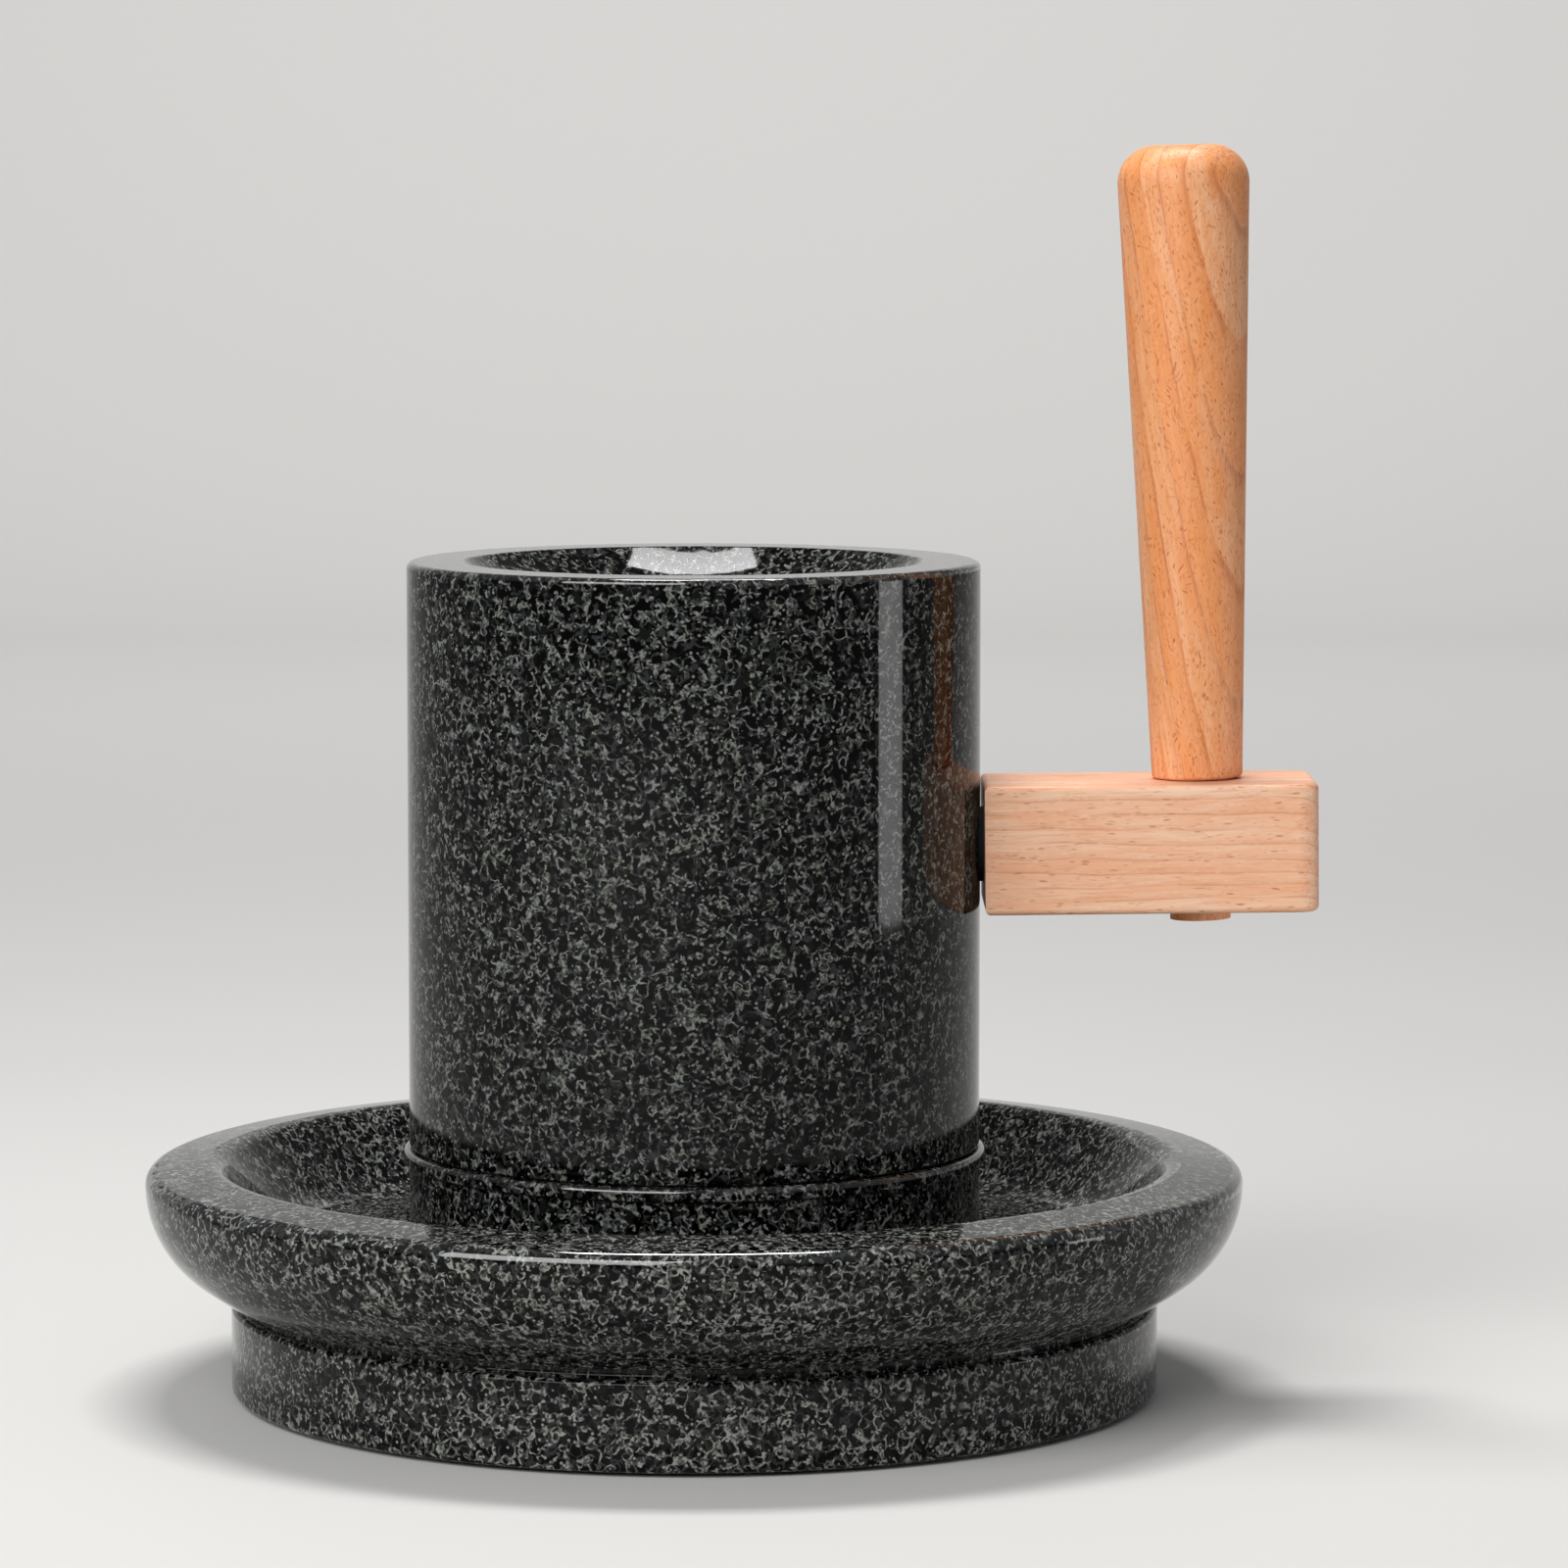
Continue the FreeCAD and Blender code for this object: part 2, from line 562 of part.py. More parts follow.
def tray_base():
    """Foot, bowl and powder channel, turned from one block."""
    body = new_body("tray_base")
    groove_radius = foot_radius - S.groove_depth
    # The bowl's wall: a curve below the widest point, then a straight slope, then the hip. The
    # curve is no larger than the wall between them leaves room for.
    hip_reach = S.bowl_hip_radius * tangent((90 - S.bowl_slope) / 2)
    hip_top = bowl_underside + hip_reach * cosine(S.bowl_slope)
    curve_height = S.tray_widest_height - hip_top - S.bowl_least_straight
    corner_radius = smaller(S.bowl_corner_radius, curve_height / sine(S.bowl_slope))
    slope_top_radius = tray_radius - corner_radius * (1 - cosine(S.bowl_slope))
    slope_top_height = S.tray_widest_height - corner_radius * sine(S.bowl_slope)
    hip_corner = slope_top_radius - (slope_top_height - bowl_underside) * tangent(S.bowl_slope)
    # The rim: its top falls outwards between two rounded edges.
    outer_centre = tray_radius - S.rim_outer_round
    inner_centre = tray_radius - S.rim_width + S.rim_inner_round
    outer_edge_radius = outer_centre + S.rim_outer_round * sine(S.rim_fall)
    outer_edge_height = S.tray_widest_height + S.rim_outer_round * cosine(S.rim_fall)
    inner_edge_radius = inner_centre + S.rim_inner_round * sine(S.rim_fall)
    rim_rise = (outer_edge_radius - inner_edge_radius) * tangent(S.rim_fall)
    inner_edge_height = outer_edge_height + rim_rise
    inner_centre_height = inner_edge_height - S.rim_inner_round * cosine(S.rim_fall)
    # The channel: the rim's inner edge rounds into a slanted wall, and a cove takes that to the floor.
    wall_top_radius = inner_centre - S.rim_inner_round * cosine(S.channel_wall_slope)
    wall_top_height = inner_centre_height + S.rim_inner_round * sine(S.channel_wall_slope)
    wall_foot_height = S.channel_floor_height + S.channel_cove * (1 - sine(S.channel_wall_slope))
    wall_foot_radius = (
        wall_top_radius - (wall_top_height - wall_foot_height) * tangent(S.channel_wall_slope))
    cove_radius = wall_foot_radius - S.channel_cove * cosine(S.channel_wall_slope)
    seat_radius = stone_radius + S.stone_seat_clearance
    mat_seat_radius = mat_radius + S.mat_clearance
    pocket_radius = S.nut_pocket_diameter / 2
    outline = [
        (shaft_hole_radius, S.nut_pocket_height),
        (pocket_radius, S.nut_pocket_height),
        (pocket_radius, S.mat_thickness),
        (mat_seat_radius, S.mat_thickness),
        (mat_seat_radius, foot_underside),
        (foot_radius - S.foot_edge_round, foot_underside),
        (foot_radius, foot_underside + S.foot_edge_round, S.foot_edge_round),
        (foot_radius, groove_bottom - S.foot_edge_round),
        (foot_radius - S.foot_edge_round, groove_bottom, S.foot_edge_round),
        (groove_radius, groove_bottom),
        (groove_radius, bowl_underside, -S.groove_height),
        (hip_corner - hip_reach, bowl_underside),
        (hip_corner + hip_reach * sine(S.bowl_slope), hip_top, S.bowl_hip_radius),
        (slope_top_radius, slope_top_height),
        (tray_radius, S.tray_widest_height, corner_radius),
        (outer_edge_radius, outer_edge_height, S.rim_outer_round),
        (inner_edge_radius, inner_edge_height),
        (wall_top_radius, wall_top_height, S.rim_inner_round),
        (wall_foot_radius, wall_foot_height),
        (cove_radius, S.channel_floor_height, -S.channel_cove),
        (seat_radius, S.channel_floor_height),
        (seat_radius, seat_floor),
        (shaft_hole_radius, seat_floor),
    ]
    revolve(body, "tray_turned", outline)
    return body


def base_mat():
    """Rubber disc let into the foot's underside; the mill stands on it."""
    mat = cylinder("base_mat", mat_radius, S.mat_thickness, 0)
    mat.Label = "base_mat"
    nodes.append(mat)
    return mat


def seat_gasket():
    """Cork ring between tray and lower stone."""
    ring = tube("seat_gasket", S.gasket_inner_diameter / 2, stone_radius - S.gasket_margin,
                seat_floor, S.gasket_thickness)
    nodes.append(ring)
    return ring


def furrow_outlines(inner_radius, hand):
    """The furrows of one sector, parallel to its first edge: from the feed hollow, or a furrow's
    width short of the next sector, out to the land. hand is 1 or -1, the side it opens to."""
    end_radius = S.furrow_end_diameter / 2
    half = S.furrow_width / 2
    sector = 360 / S.furrow_sectors
    start_radius = inner_radius - S.furrow_run_out
    outlines = []
    for index in range(int(S.furrows_in_sector.value)):
        offset = S.furrow_spacing * index
        at_hollow = root(start_radius * start_radius - offset * offset)
        at_neighbour = offset / tangent(sector) + 2 * S.furrow_width / sine(sector)
        start = at_hollow if index == 0 else larger(at_hollow, at_neighbour)
        end = root(end_radius * end_radius - (offset + half) * (offset + half))
        low, high = (offset - half) * hand, (offset + half) * hand
        outlines.append([(start, low), (end, low), (end, high), (start, high)])
    return outlines


def lower_stone():
    """Fixed grinding stone: a lip round its top, furrows and a feed hollow in its face."""
    body = new_body("lower_stone")
    lip_radius = stone_radius + S.lip_overhang
    lip_bottom = lower_face - S.lip_height
    flange_seat_radius = S.shaft_flange_diameter / 2 + S.flange_clearance
    outline = [
        (shaft_hole_radius, lower_stone_bottom),
        (stone_radius - S.lower_stone_foot_chamfer, lower_stone_bottom),
        (stone_radius, lower_stone_bottom + S.lower_stone_foot_chamfer),
        (stone_radius, lip_bottom),
        (lip_radius - S.lip_under_round, lip_bottom),
        (lip_radius, lip_bottom + S.lip_under_round, S.lip_under_round),
        (lip_radius, lower_face - S.lip_round),
        (lip_radius - S.lip_round, lower_face, S.lip_round),
        (S.feed_cone_diameter / 2, lower_face),
        (flange_seat_radius, flange_top),
        (flange_seat_radius, flange_bottom),
        (shaft_hole_radius, flange_bottom),
    ]
    revolve(body, "lower_stone_turned", outline)
    furrows = pocket(body, "lower_furrows", furrow_outlines(S.feed_cone_diameter / 2, 1),
                     S.furrow_depth, lower_face)
    repeat(body, furrows, S.furrow_sectors)
    return body


def centre_shaft():
    """Flanged shaft: the nut below and the flange above clamp stone and tray together."""
    body = new_body("centre_shaft")
    flange_radius = S.shaft_flange_diameter / 2
    outline = [
        (0, S.shaft_end_height),
        (shaft_radius - S.shaft_chamfer, S.shaft_end_height),
        (shaft_radius, S.shaft_end_height + S.shaft_chamfer),
        (shaft_radius, flange_bottom),
        (flange_radius, flange_bottom),
        (flange_radius, flange_top),
        (shaft_radius, flange_top),
        (shaft_radius, shaft_shoulder),
        (journal_radius, shaft_shoulder),
        (journal_radius, journal_top - S.journal_lead_in),
        (journal_radius - S.journal_lead_in, journal_top),
        (0, journal_top),
    ]
    revolve(body, "shaft_turned", outline)
    return body


def shaft_washer():
    ring = tube("shaft_washer", shaft_hole_radius, S.washer_diameter / 2,
                S.nut_pocket_height - S.washer_thickness, S.washer_thickness)
    nodes.append(ring)
    return ring


def shaft_nut():
    bottom = S.nut_pocket_height - S.washer_thickness - S.nut_thickness
    block = hexagon("shaft_nut_block", S.nut_across_flats, S.nut_thickness, bottom)
    bore = cylinder("shaft_nut_bore", shaft_radius, S.nut_thickness, bottom)
    nut = cut("shaft_nut", block, bore)
    nodes.append(nut)
    return nut


def gap_shim():
    """Thin ring under the bearing that sets how close the stones run."""
    ring = tube("gap_shim", journal_radius + S.shim_clearance, S.shim_diameter / 2,
                shaft_shoulder, S.shim_thickness)
    nodes.append(ring)
    return ring


# ---------------------------------------------------------------- bearing

def bearing_inner_ring():
    body = new_body("bearing_inner_ring")
    land = S.inner_land_diameter / 2
    race_centre = ball_circle_radius - ball_radius - S.ball_clearance + S.race_radius
    half_groove = root(S.race_radius * S.race_radius - (race_centre - land) * (race_centre - land))
    outline = [
        (S.bearing_bore / 2, bearing_bottom),
        (land, bearing_bottom),
        (land, bearing_middle - half_groove),
        (land, bearing_middle + half_groove, -S.race_radius),
        (land, bearing_top),
        (S.bearing_bore / 2, bearing_top),
    ]
    revolve(body, "inner_ring_turned", outline)
    return body


def bearing_outer_ring():
    body = new_body("bearing_outer_ring")
    land = S.outer_land_diameter / 2
    outside = S.bearing_outside / 2
    seat = S.shield_seat_diameter / 2
    race_centre = ball_circle_radius + ball_radius + S.ball_clearance - S.race_radius
    half_groove = root(S.race_radius * S.race_radius - (land - race_centre) * (land - race_centre))
    outline = [
        (seat, bearing_bottom),
        (outside, bearing_bottom),
        (outside, bearing_top),
        (seat, bearing_top),
        (seat, bearing_top - S.shield_seat_depth),
        (land, bearing_top - S.shield_seat_depth),
        (land, bearing_middle + half_groove),
        (land, bearing_middle - half_groove, -S.race_radius),
        (land, bearing_bottom + S.shield_seat_depth),
        (seat, bearing_bottom + S.shield_seat_depth),
    ]
    revolve(body, "outer_ring_turned", outline)
    return body


def ball_place(index):
    """Where ball number index lies on the ball circle."""
    angle = index * 360 / S.ball_count
    return ball_circle_radius * cosine(angle), ball_circle_radius * sine(angle)


def sphere(name, radius, x, y, z):
    solid = doc.addObject("Part::Sphere", name)
    bind(solid, "Radius", radius)
    bind(solid, "Placement.Base.x", x)
    bind(solid, "Placement.Base.y", y)
    bind(solid, "Placement.Base.z", z)
    return solid


def bearing_balls():
    balls = []
    for index in range(int(S.ball_count.value)):
        x, y = ball_place(index)
        balls.append(sphere(f"ball_{index + 1}", ball_radius, x, y, bearing_middle))
    return group("bearing_balls", balls)


def bearing_cage():
    """Crown cage: a ring below the balls, with open pockets that the balls snap into."""
    inner = ball_circle_radius - S.cage_wall / 2
    outer = ball_circle_radius + S.cage_wall / 2
    ring = tube("cage_ring", inner, outer, bearing_middle - S.cage_bottom,
                S.cage_bottom + S.cage_top)
    pockets = []
    for index in range(int(S.ball_count.value)):
        x, y = ball_place(index)
        pockets.append(sphere(f"cage_pocket_{index + 1}", ball_radius + S.cage_clearance,
                              x, y, bearing_middle))
    cage = cut("bearing_cage", ring, fuse("cage_pockets", pockets))
    nodes.append(cage)
    return cage


def bearing_shields():
    """Two thin rings, one on each side of the balls."""
    inner = S.inner_land_diameter / 2 + S.shield_clearance
    outer = S.shield_seat_diameter / 2
    lower = tube("lower_shield", inner, outer,
                 bearing_bottom + S.shield_seat_depth - S.shield_thickness, S.shield_thickness)
    upper = tube("upper_shield", inner, outer,
                 bearing_top - S.shield_seat_depth, S.shield_thickness)
    return group("bearing_shields", [lower, upper])


# ---------------------------------------------------------------- upper stone and its bearing carrier

def upper_stone():
    """Runner stone: hopper dish, feed eye, bell bore round the hub, furrows in its underside."""
    body = new_body("upper_stone")
    dish_radius = S.dish_diameter / 2
    eye_radius = S.eye_diameter / 2
    bell_radius = S.bell_diameter / 2
    bell_top = carrier_ceiling + S.bell_height
    recess_radius = S.carrier_diameter / 2 + S.carrier_clearance
    eye_mouth = rim_height - S.dish_depth
    outline = [
        (recess_radius, upper_face),
        (stone_radius - S.upper_foot_round, upper_face),
        (stone_radius, upper_face + S.upper_foot_round, S.upper_foot_round),
        (stone_radius, rim_height - S.upper_rim_round),
        (stone_radius - S.upper_rim_round, rim_height, S.upper_rim_round),
        (dish_radius, rim_height),
        (eye_radius, eye_mouth, -S.dish_curve_radius),
        (eye_radius, bell_top + S.bell_cone_height),
        (bell_radius, bell_top),
        (bell_radius, carrier_ceiling),
        (recess_radius, carrier_ceiling),
    ]
    revolve(body, "upper_stone_turned", outline)
    round_edges(body, "dish_edge", S.dish_edge_round, circle_at(dish_radius, rim_height))
    round_edges(body, "eye_edge", S.eye_edge_round, circle_at(eye_radius, eye_mouth))

    anchor_radius = S.anchor_diameter / 2
    anchor_hole = [
        (0, carrier_ceiling),
        (anchor_radius, carrier_ceiling),
        (anchor_radius, carrier_ceiling + S.anchor_length),
        (0, carrier_ceiling + S.anchor_length),
    ]
    anchors = revolve(body, "anchor_holes", anchor_hole, cut=True, x=carrier_screw_radius)
    repeat(body, anchors, S.carrier_spokes)

    hole_radius = S.stone_anchor_diameter / 2
    spot_radius = S.spot_face_diameter / 2
    stud_hole = [
        (-S.stone_anchor_depth, 0),
        (spot_radius, 0),
        (spot_radius, spot_radius),
        (-S.spot_face_depth, spot_radius),
        (-S.spot_face_depth, hole_radius),
        (-S.stone_anchor_depth, hole_radius),
    ]
    revolve(body, "stud_hole", stud_hole, axis="H_Axis", cut=True,
            x=stone_radius, y=S.arm_axis_height, turn=S.arm_tilt)

    furrows = pocket(body, "upper_furrows", furrow_outlines(recess_radius, -1),
                     S.furrow_depth, upper_face, upward=True)
    repeat(body, furrows, S.furrow_sectors)
    return body


def bearing_carrier():
    """Spoked plate with the bearing's hub, screwed into the upper stone's underside."""
    body = new_body("bearing_carrier")
    hub_radius = S.hub_diameter / 2
    plate_radius = S.carrier_diameter / 2
    bore = S.bearing_outside / 2
    slot_radius = S.circlip_groove_diameter / 2
    shoulder = S.hub_shoulder_bore / 2
    outline = [
        (bore, hub_bottom),
        (hub_radius, hub_bottom),
        (hub_radius, carrier_bottom),
        (plate_radius, carrier_bottom),
        (plate_radius, carrier_ceiling),
        (hub_radius, carrier_ceiling),
        (hub_radius, hub_top),
        (shoulder, hub_top),
        (shoulder, bearing_top),
        (bore, bearing_top),
        (bore, bearing_bottom),
        (slot_radius, bearing_bottom),
        (slot_radius, bearing_bottom - S.circlip_slot),
        (bore, bearing_bottom - S.circlip_slot),
    ]
    revolve(body, "carrier_turned", outline)

    middle = 180 / S.carrier_spokes
    first, last = middle - S.window_angle / 2, middle + S.window_angle / 2
    window_radius = S.window_diameter / 2
    window = [
        (hub_radius * cosine(first), hub_radius * sine(first), -hub_radius),
        (window_radius * cosine(first), window_radius * sine(first)),
        (window_radius * cosine(last), window_radius * sine(last), window_radius),
        (hub_radius * cosine(last), hub_radius * sine(last)),
    ]
    windows = pocket(body, "leaf_windows", [window], S.carrier_thickness, carrier_ceiling)
    repeat(body, windows, S.carrier_spokes)

    head_radius = S.carrier_screw_head / 2
    hole_radius = S.carrier_screw_hole / 2
    screw_hole = [
        (0, carrier_bottom),
        (head_radius, carrier_bottom),
        (hole_radius, carrier_bottom + head_radius - hole_radius),
        (hole_radius, carrier_ceiling),
        (0, carrier_ceiling),
    ]
    holes = revolve(body, "screw_holes", screw_hole, cut=True, x=carrier_screw_radius)
    repeat(body, holes, S.carrier_spokes)
    return body


def bearing_circlip():
    """Retaining ring below the bearing, open on one side."""
    body = new_body("bearing_circlip")
    inner = S.circlip_inner_diameter / 2
    outer = S.circlip_groove_diameter / 2
    bottom = bearing_bottom - S.circlip_thickness
    outline = [(inner, bottom), (outer, bottom), (outer, bearing_bottom), (inner, bearing_bottom)]
    ring = revolve(body, "circlip_turned", outline)
    bind_angle(ring, "Angle", 360 - S.circlip_gap_angle)
    return body


def feed_cap():
    """Cone on the hub's top: closes the bearing and sheds leaf towards the windows."""
    body = new_body("feed_cap")
    hub_radius = S.hub_diameter / 2
    spigot_radius = S.hub_shoulder_bore / 2 - S.cap_spigot_clearance
    spigot_bottom = bearing_top + S.cap_spigot_gap
    cavity_radius = S.cap_cavity_diameter / 2
    cavity_top = hub_top + S.cap_cavity_height
    cap_top = hub_top + S.cap_brim + S.cap_height
    outline = [
        (cavity_radius, spigot_bottom),
        (spigot_radius, spigot_bottom),
        (spigot_radius, hub_top),
        (hub_radius, hub_top),
        (hub_radius, hub_top + S.cap_brim),
        (S.cap_tip_diameter / 2, cap_top),
        (0, cap_top),
        (0, cavity_top),
        (cavity_radius, cavity_top),
    ]
    revolve(body, "cap_turned", outline)
    return body


def spoke_place(index):
    """Where the screw of spoke number index lies."""
    angle = index * 360 / S.carrier_spokes
    return carrier_screw_radius * cosine(angle), carrier_screw_radius * sine(angle)


def carrier_anchors():
    """Threaded sleeves bonded into the stone for the carrier screws."""
    sleeves = []
    for index in range(int(S.carrier_spokes.value)):
        x, y = spoke_place(index)
        sleeves.append(tube(f"anchor_{index + 1}", S.carrier_screw_diameter / 2,
                            S.anchor_diameter / 2, carrier_ceiling, S.anchor_length, x, y))
    return group("carrier_anchors", sleeves)


def countersunk_screw(name, thread, head, length, bottom, socket, socket_depth, x=0, y=0):
    """A countersunk screw that points up, its flat head at the bottom."""
    head_height = (head - thread) / 2
    cone_part = cone(name + "_head", head / 2, thread / 2, head_height, bottom, x, y)
    shank = cylinder(name + "_shank", thread / 2, length - head_height,
                     bottom + head_height, x, y)
    socket_hole = hexagon(name + "_socket", socket, socket_depth, bottom, x, y)
    return cut(name, fuse(name + "_blank", [cone_part, shank]), socket_hole)


def carrier_screws():
    screws = []
    for index in range(int(S.carrier_spokes.value)):
        x, y = spoke_place(index)
        screws.append(countersunk_screw(
            f"screw_{index + 1}", S.carrier_screw_diameter, S.carrier_screw_head,
            S.carrier_screw_length, carrier_bottom, S.carrier_screw_socket,
            S.carrier_socket_depth, x, y))
    return group("carrier_screws", screws)


# ---------------------------------------------------------------- crank arm

def arm_anchor():
    """Threaded sleeve bonded into the upper stone's side."""
    body = new_body("arm_anchor", arm_frame)
    inner = S.stud_diameter / 2
    outer = S.stone_anchor_diameter / 2
    outline = [
        (-S.stone_anchor_depth, inner),
        (-S.spot_face_depth, inner),
        (-S.spot_face_depth, outer),
        (-S.stone_anchor_depth, outer),
    ]
    revolve(body, "anchor_turned", outline, axis="H_Axis")
    return body


def arm_stud():
    """Threaded stud that carries the arm."""
    body = new_body("arm_stud", arm_frame)
    radius = S.stud_diameter / 2
    tip = radius - S.stud_chamfer
    outline = [
        (-S.stud_in_stone, 0),
        (S.stud_in_arm, 0),
        (S.stud_in_arm, tip),
        (S.stud_in_arm - S.stud_chamfer, radius),
        (-S.stud_in_stone + S.stud_chamfer, radius),
        (-S.stud_in_stone, tip),
    ]
    revolve(body, "stud_turned", outline, axis="H_Axis")
    return body


def arm_washer():
    """Rubber washer on the stone's spot face; the arm is turned tight against it."""
    body = new_body("arm_washer", arm_frame)
    inner = S.stud_diameter / 2 + S.arm_washer_clearance
    outer = S.arm_washer_diameter / 2
    outline = [
        (-S.spot_face_depth, inner),
        (S.arm_stand_off, inner),
        (S.arm_stand_off, outer),
        (-S.spot_face_depth, outer),
    ]
    revolve(body, "arm_washer_turned", outline, axis="H_Axis")
    return body


def arm_insert():
    """Threaded sleeve in the arm's end."""
    body = new_body("arm_insert", arm_frame)
    start = S.arm_stand_off + S.arm_insert_set_back
    end = start + S.arm_insert_length
    inner = S.stud_diameter / 2
    outer = S.arm_insert_diameter / 2
    outline = [(start, inner), (end, inner), (end, outer), (start, outer)]
    revolve(body, "insert_turned", outline, axis="H_Axis")
    return body


def arm():
    """Wooden crank arm, bored for the insert at one end and for the grip's spindle at the other."""
    body = new_body("arm", arm_frame)
    start = S.arm_stand_off
    end = start + S.arm_length
    half_width = S.arm_width / 2
    corner = S.arm_end_round
    outline = [
        (start, -half_width),
        (end - corner, -half_width),
        (end, -half_width + corner, corner),
        (end, half_width - corner),
        (end - corner, half_width, corner),
        (start, half_width),
    ]
    sketch = new_sketch(body, "arm_outline", "XY_Plane")
    draw_outline(sketch, outline)
    block = body.newObject("PartDesign::Pad", "arm_block")
    block.Profile = sketch
    block.Midplane = True
    bind(block, "Length", S.arm_thickness)
    body.Tip = block

    def on_top_or_bottom(edge):
        box = edge.BoundBox
        return box.ZLength < 0.01 and abs(abs(box.Center.z) - arm_half.value) < 0.01

    round_edges(body, "arm_edges", S.arm_edge_round, on_top_or_bottom)

    insert_end = start + S.arm_insert_set_back + S.arm_insert_length
    insert_radius = S.arm_insert_diameter / 2
    stud_radius = S.stud_diameter / 2 + S.arm_washer_clearance
    stud_end = S.stud_in_arm + S.arm_washer_clearance
    stud_bore = [
        (start, 0),
        (stud_end, 0),
        (stud_end, stud_radius),
        (insert_end, stud_radius),
        (insert_end, insert_radius),
        (start, insert_radius),
    ]
    revolve(body, "stud_bore", stud_bore, axis="H_Axis", cut=True)

    seat_radius = S.thrust_washer_diameter / 2 + S.thrust_seat_clearance
    bore_radius = S.tenon_diameter / 2 + S.tenon_clearance
    past_top = S.thrust_seat_depth
    past_bottom = -(S.arm_thickness + S.keeper_thickness)
    spindle_bore = [
        (0, past_bottom),
        (bore_radius, past_bottom),
        (bore_radius, -S.thrust_seat_depth),
        (seat_radius, -S.thrust_seat_depth),
        (seat_radius, past_top),
        (0, past_top),
    ]
    revolve(body, "spindle_bore", spindle_bore, cut=True,
            x=S.grip_distance, y=arm_half, turn=S.grip_lean - S.arm_tilt)
    return body


# ---------------------------------------------------------------- grip

def thrust_washer():
    """Thin washer in the arm's top, under the grip."""
    body = new_body("thrust_washer", grip_frame)
    inner = S.tenon_diameter / 2 + S.tenon_clearance
    outer = S.thrust_washer_diameter / 2
    bottom = -S.thrust_seat_depth
    top = bottom + S.thrust_washer_thickness
    outline = [(inner, bottom), (outer, bottom), (outer, top), (inner, top)]
    revolve(body, "thrust_washer_turned", outline)
    return body


def grip():
    """Turned wooden grip with its spindle, which passes through the arm."""
    body = new_body("grip", grip_frame)
    spindle = S.tenon_diameter / 2
    base_radius = S.grip_base_diameter / 2
    top_radius = S.grip_top_diameter / 2
    top = grip_base + S.grip_length
    pilot_radius = S.keeper_screw_diameter / 2
    pilot_end = tenon_end - S.keeper_thickness + S.keeper_screw_length
    outline = [
        (pilot_radius, tenon_end),
        (spindle, tenon_end),
        (spindle, grip_base),
        (base_radius - S.grip_base_round, grip_base),
        (base_radius, grip_base + S.grip_base_round, S.grip_base_round),
        (top_radius, top - S.grip_top_round),
        (top_radius - S.grip_top_round, top, S.grip_top_round),
        (0, top),
        (0, pilot_end),
        (pilot_radius, pilot_end),
    ]
    revolve(body, "grip_turned", outline)
    return body


def keeper_disc():
    """Disc under the arm that keeps the spindle in its bore."""
    body = new_body("keeper_disc", grip_frame)
    hole = S.keeper_screw_diameter / 2
    head = S.keeper_screw_head / 2
    outer = S.keeper_diameter / 2
    bottom = tenon_end - S.keeper_thickness
    outline = [
        (head, bottom),
        (outer, bottom),
        (outer, tenon_end),
        (hole, tenon_end),
        (hole, bottom + head - hole),
    ]
    revolve(body, "keeper_turned", outline)
    return body


def keeper_screw():
    """Countersunk wood screw through the keeper disc into the spindle."""
    screw = countersunk_screw(
        "keeper_screw", S.keeper_screw_diameter, S.keeper_screw_head, S.keeper_screw_length,
        tenon_end - S.keeper_thickness, S.keeper_socket, S.keeper_socket_depth)
    grip_frame.carry(screw)
    nodes.append(screw)
    return screw


# ---------------------------------------------------------------- build, check and write

def build_all():
    tray_base()
    base_mat()
    seat_gasket()
    lower_stone()
    centre_shaft()
    shaft_washer()
    shaft_nut()
    gap_shim()
    bearing_inner_ring()
    bearing_outer_ring()
    bearing_balls()
    bearing_cage()
    bearing_shields()
    upper_stone()
    bearing_carrier()
    bearing_circlip()
    feed_cap()
    carrier_anchors()
    carrier_screws()
    arm_anchor()
    arm_stud()
    arm_washer()
    arm_insert()
    arm()
    thrust_washer()
    grip()
    keeper_disc()
    keeper_screw()
    doc.recompute()


def check_objects():
    """Refuse a failed object, an empty or invalid shape, and a cut that removed nothing."""
    for thing in doc.Objects:
        if "Invalid" in thing.State or "Error" in thing.State:
            raise RuntimeError(f"{thing.Name} failed: {thing.State}")
        if thing.TypeId in ("PartDesign::Groove", "PartDesign::Pocket"):
            before = thing.BaseFeature.Shape.Volume
            if thing.Shape.Volume > before - 1e-3:
                raise RuntimeError(f"{thing.Name} cuts nothing")
    for node in nodes:
        if node.Shape.isNull() or not node.Shape.isValid() or not node.Shape.Solids:
            raise RuntimeError(f"{node.Label} has no valid solid")


build_all()
check_objects()
os.makedirs("parts", exist_ok=True)
for node in nodes:
    node.Shape.exportStep(os.path.join("parts", node.Label + ".step"))
    box = node.Shape.BoundBox
    print(f"{node.Label:20s} solids {len(node.Shape.Solids):2d} volume {node.Shape.Volume:12.1f}"
          f"  z {box.ZMin:7.2f} to {box.ZMax:7.2f}")
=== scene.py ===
"""Looks of the hand-cranked matcha stone mill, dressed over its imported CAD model.

Metres, in the CAD frame: +Z up, the mill's axis at the origin, the crank arm along +X. Textures
are solid: they are worked out in millimetres from the place of each point at rest, so they run
through a piece as stone and wood do, and stay with it when it moves.
"""
import json
import math
from collections import namedtuple

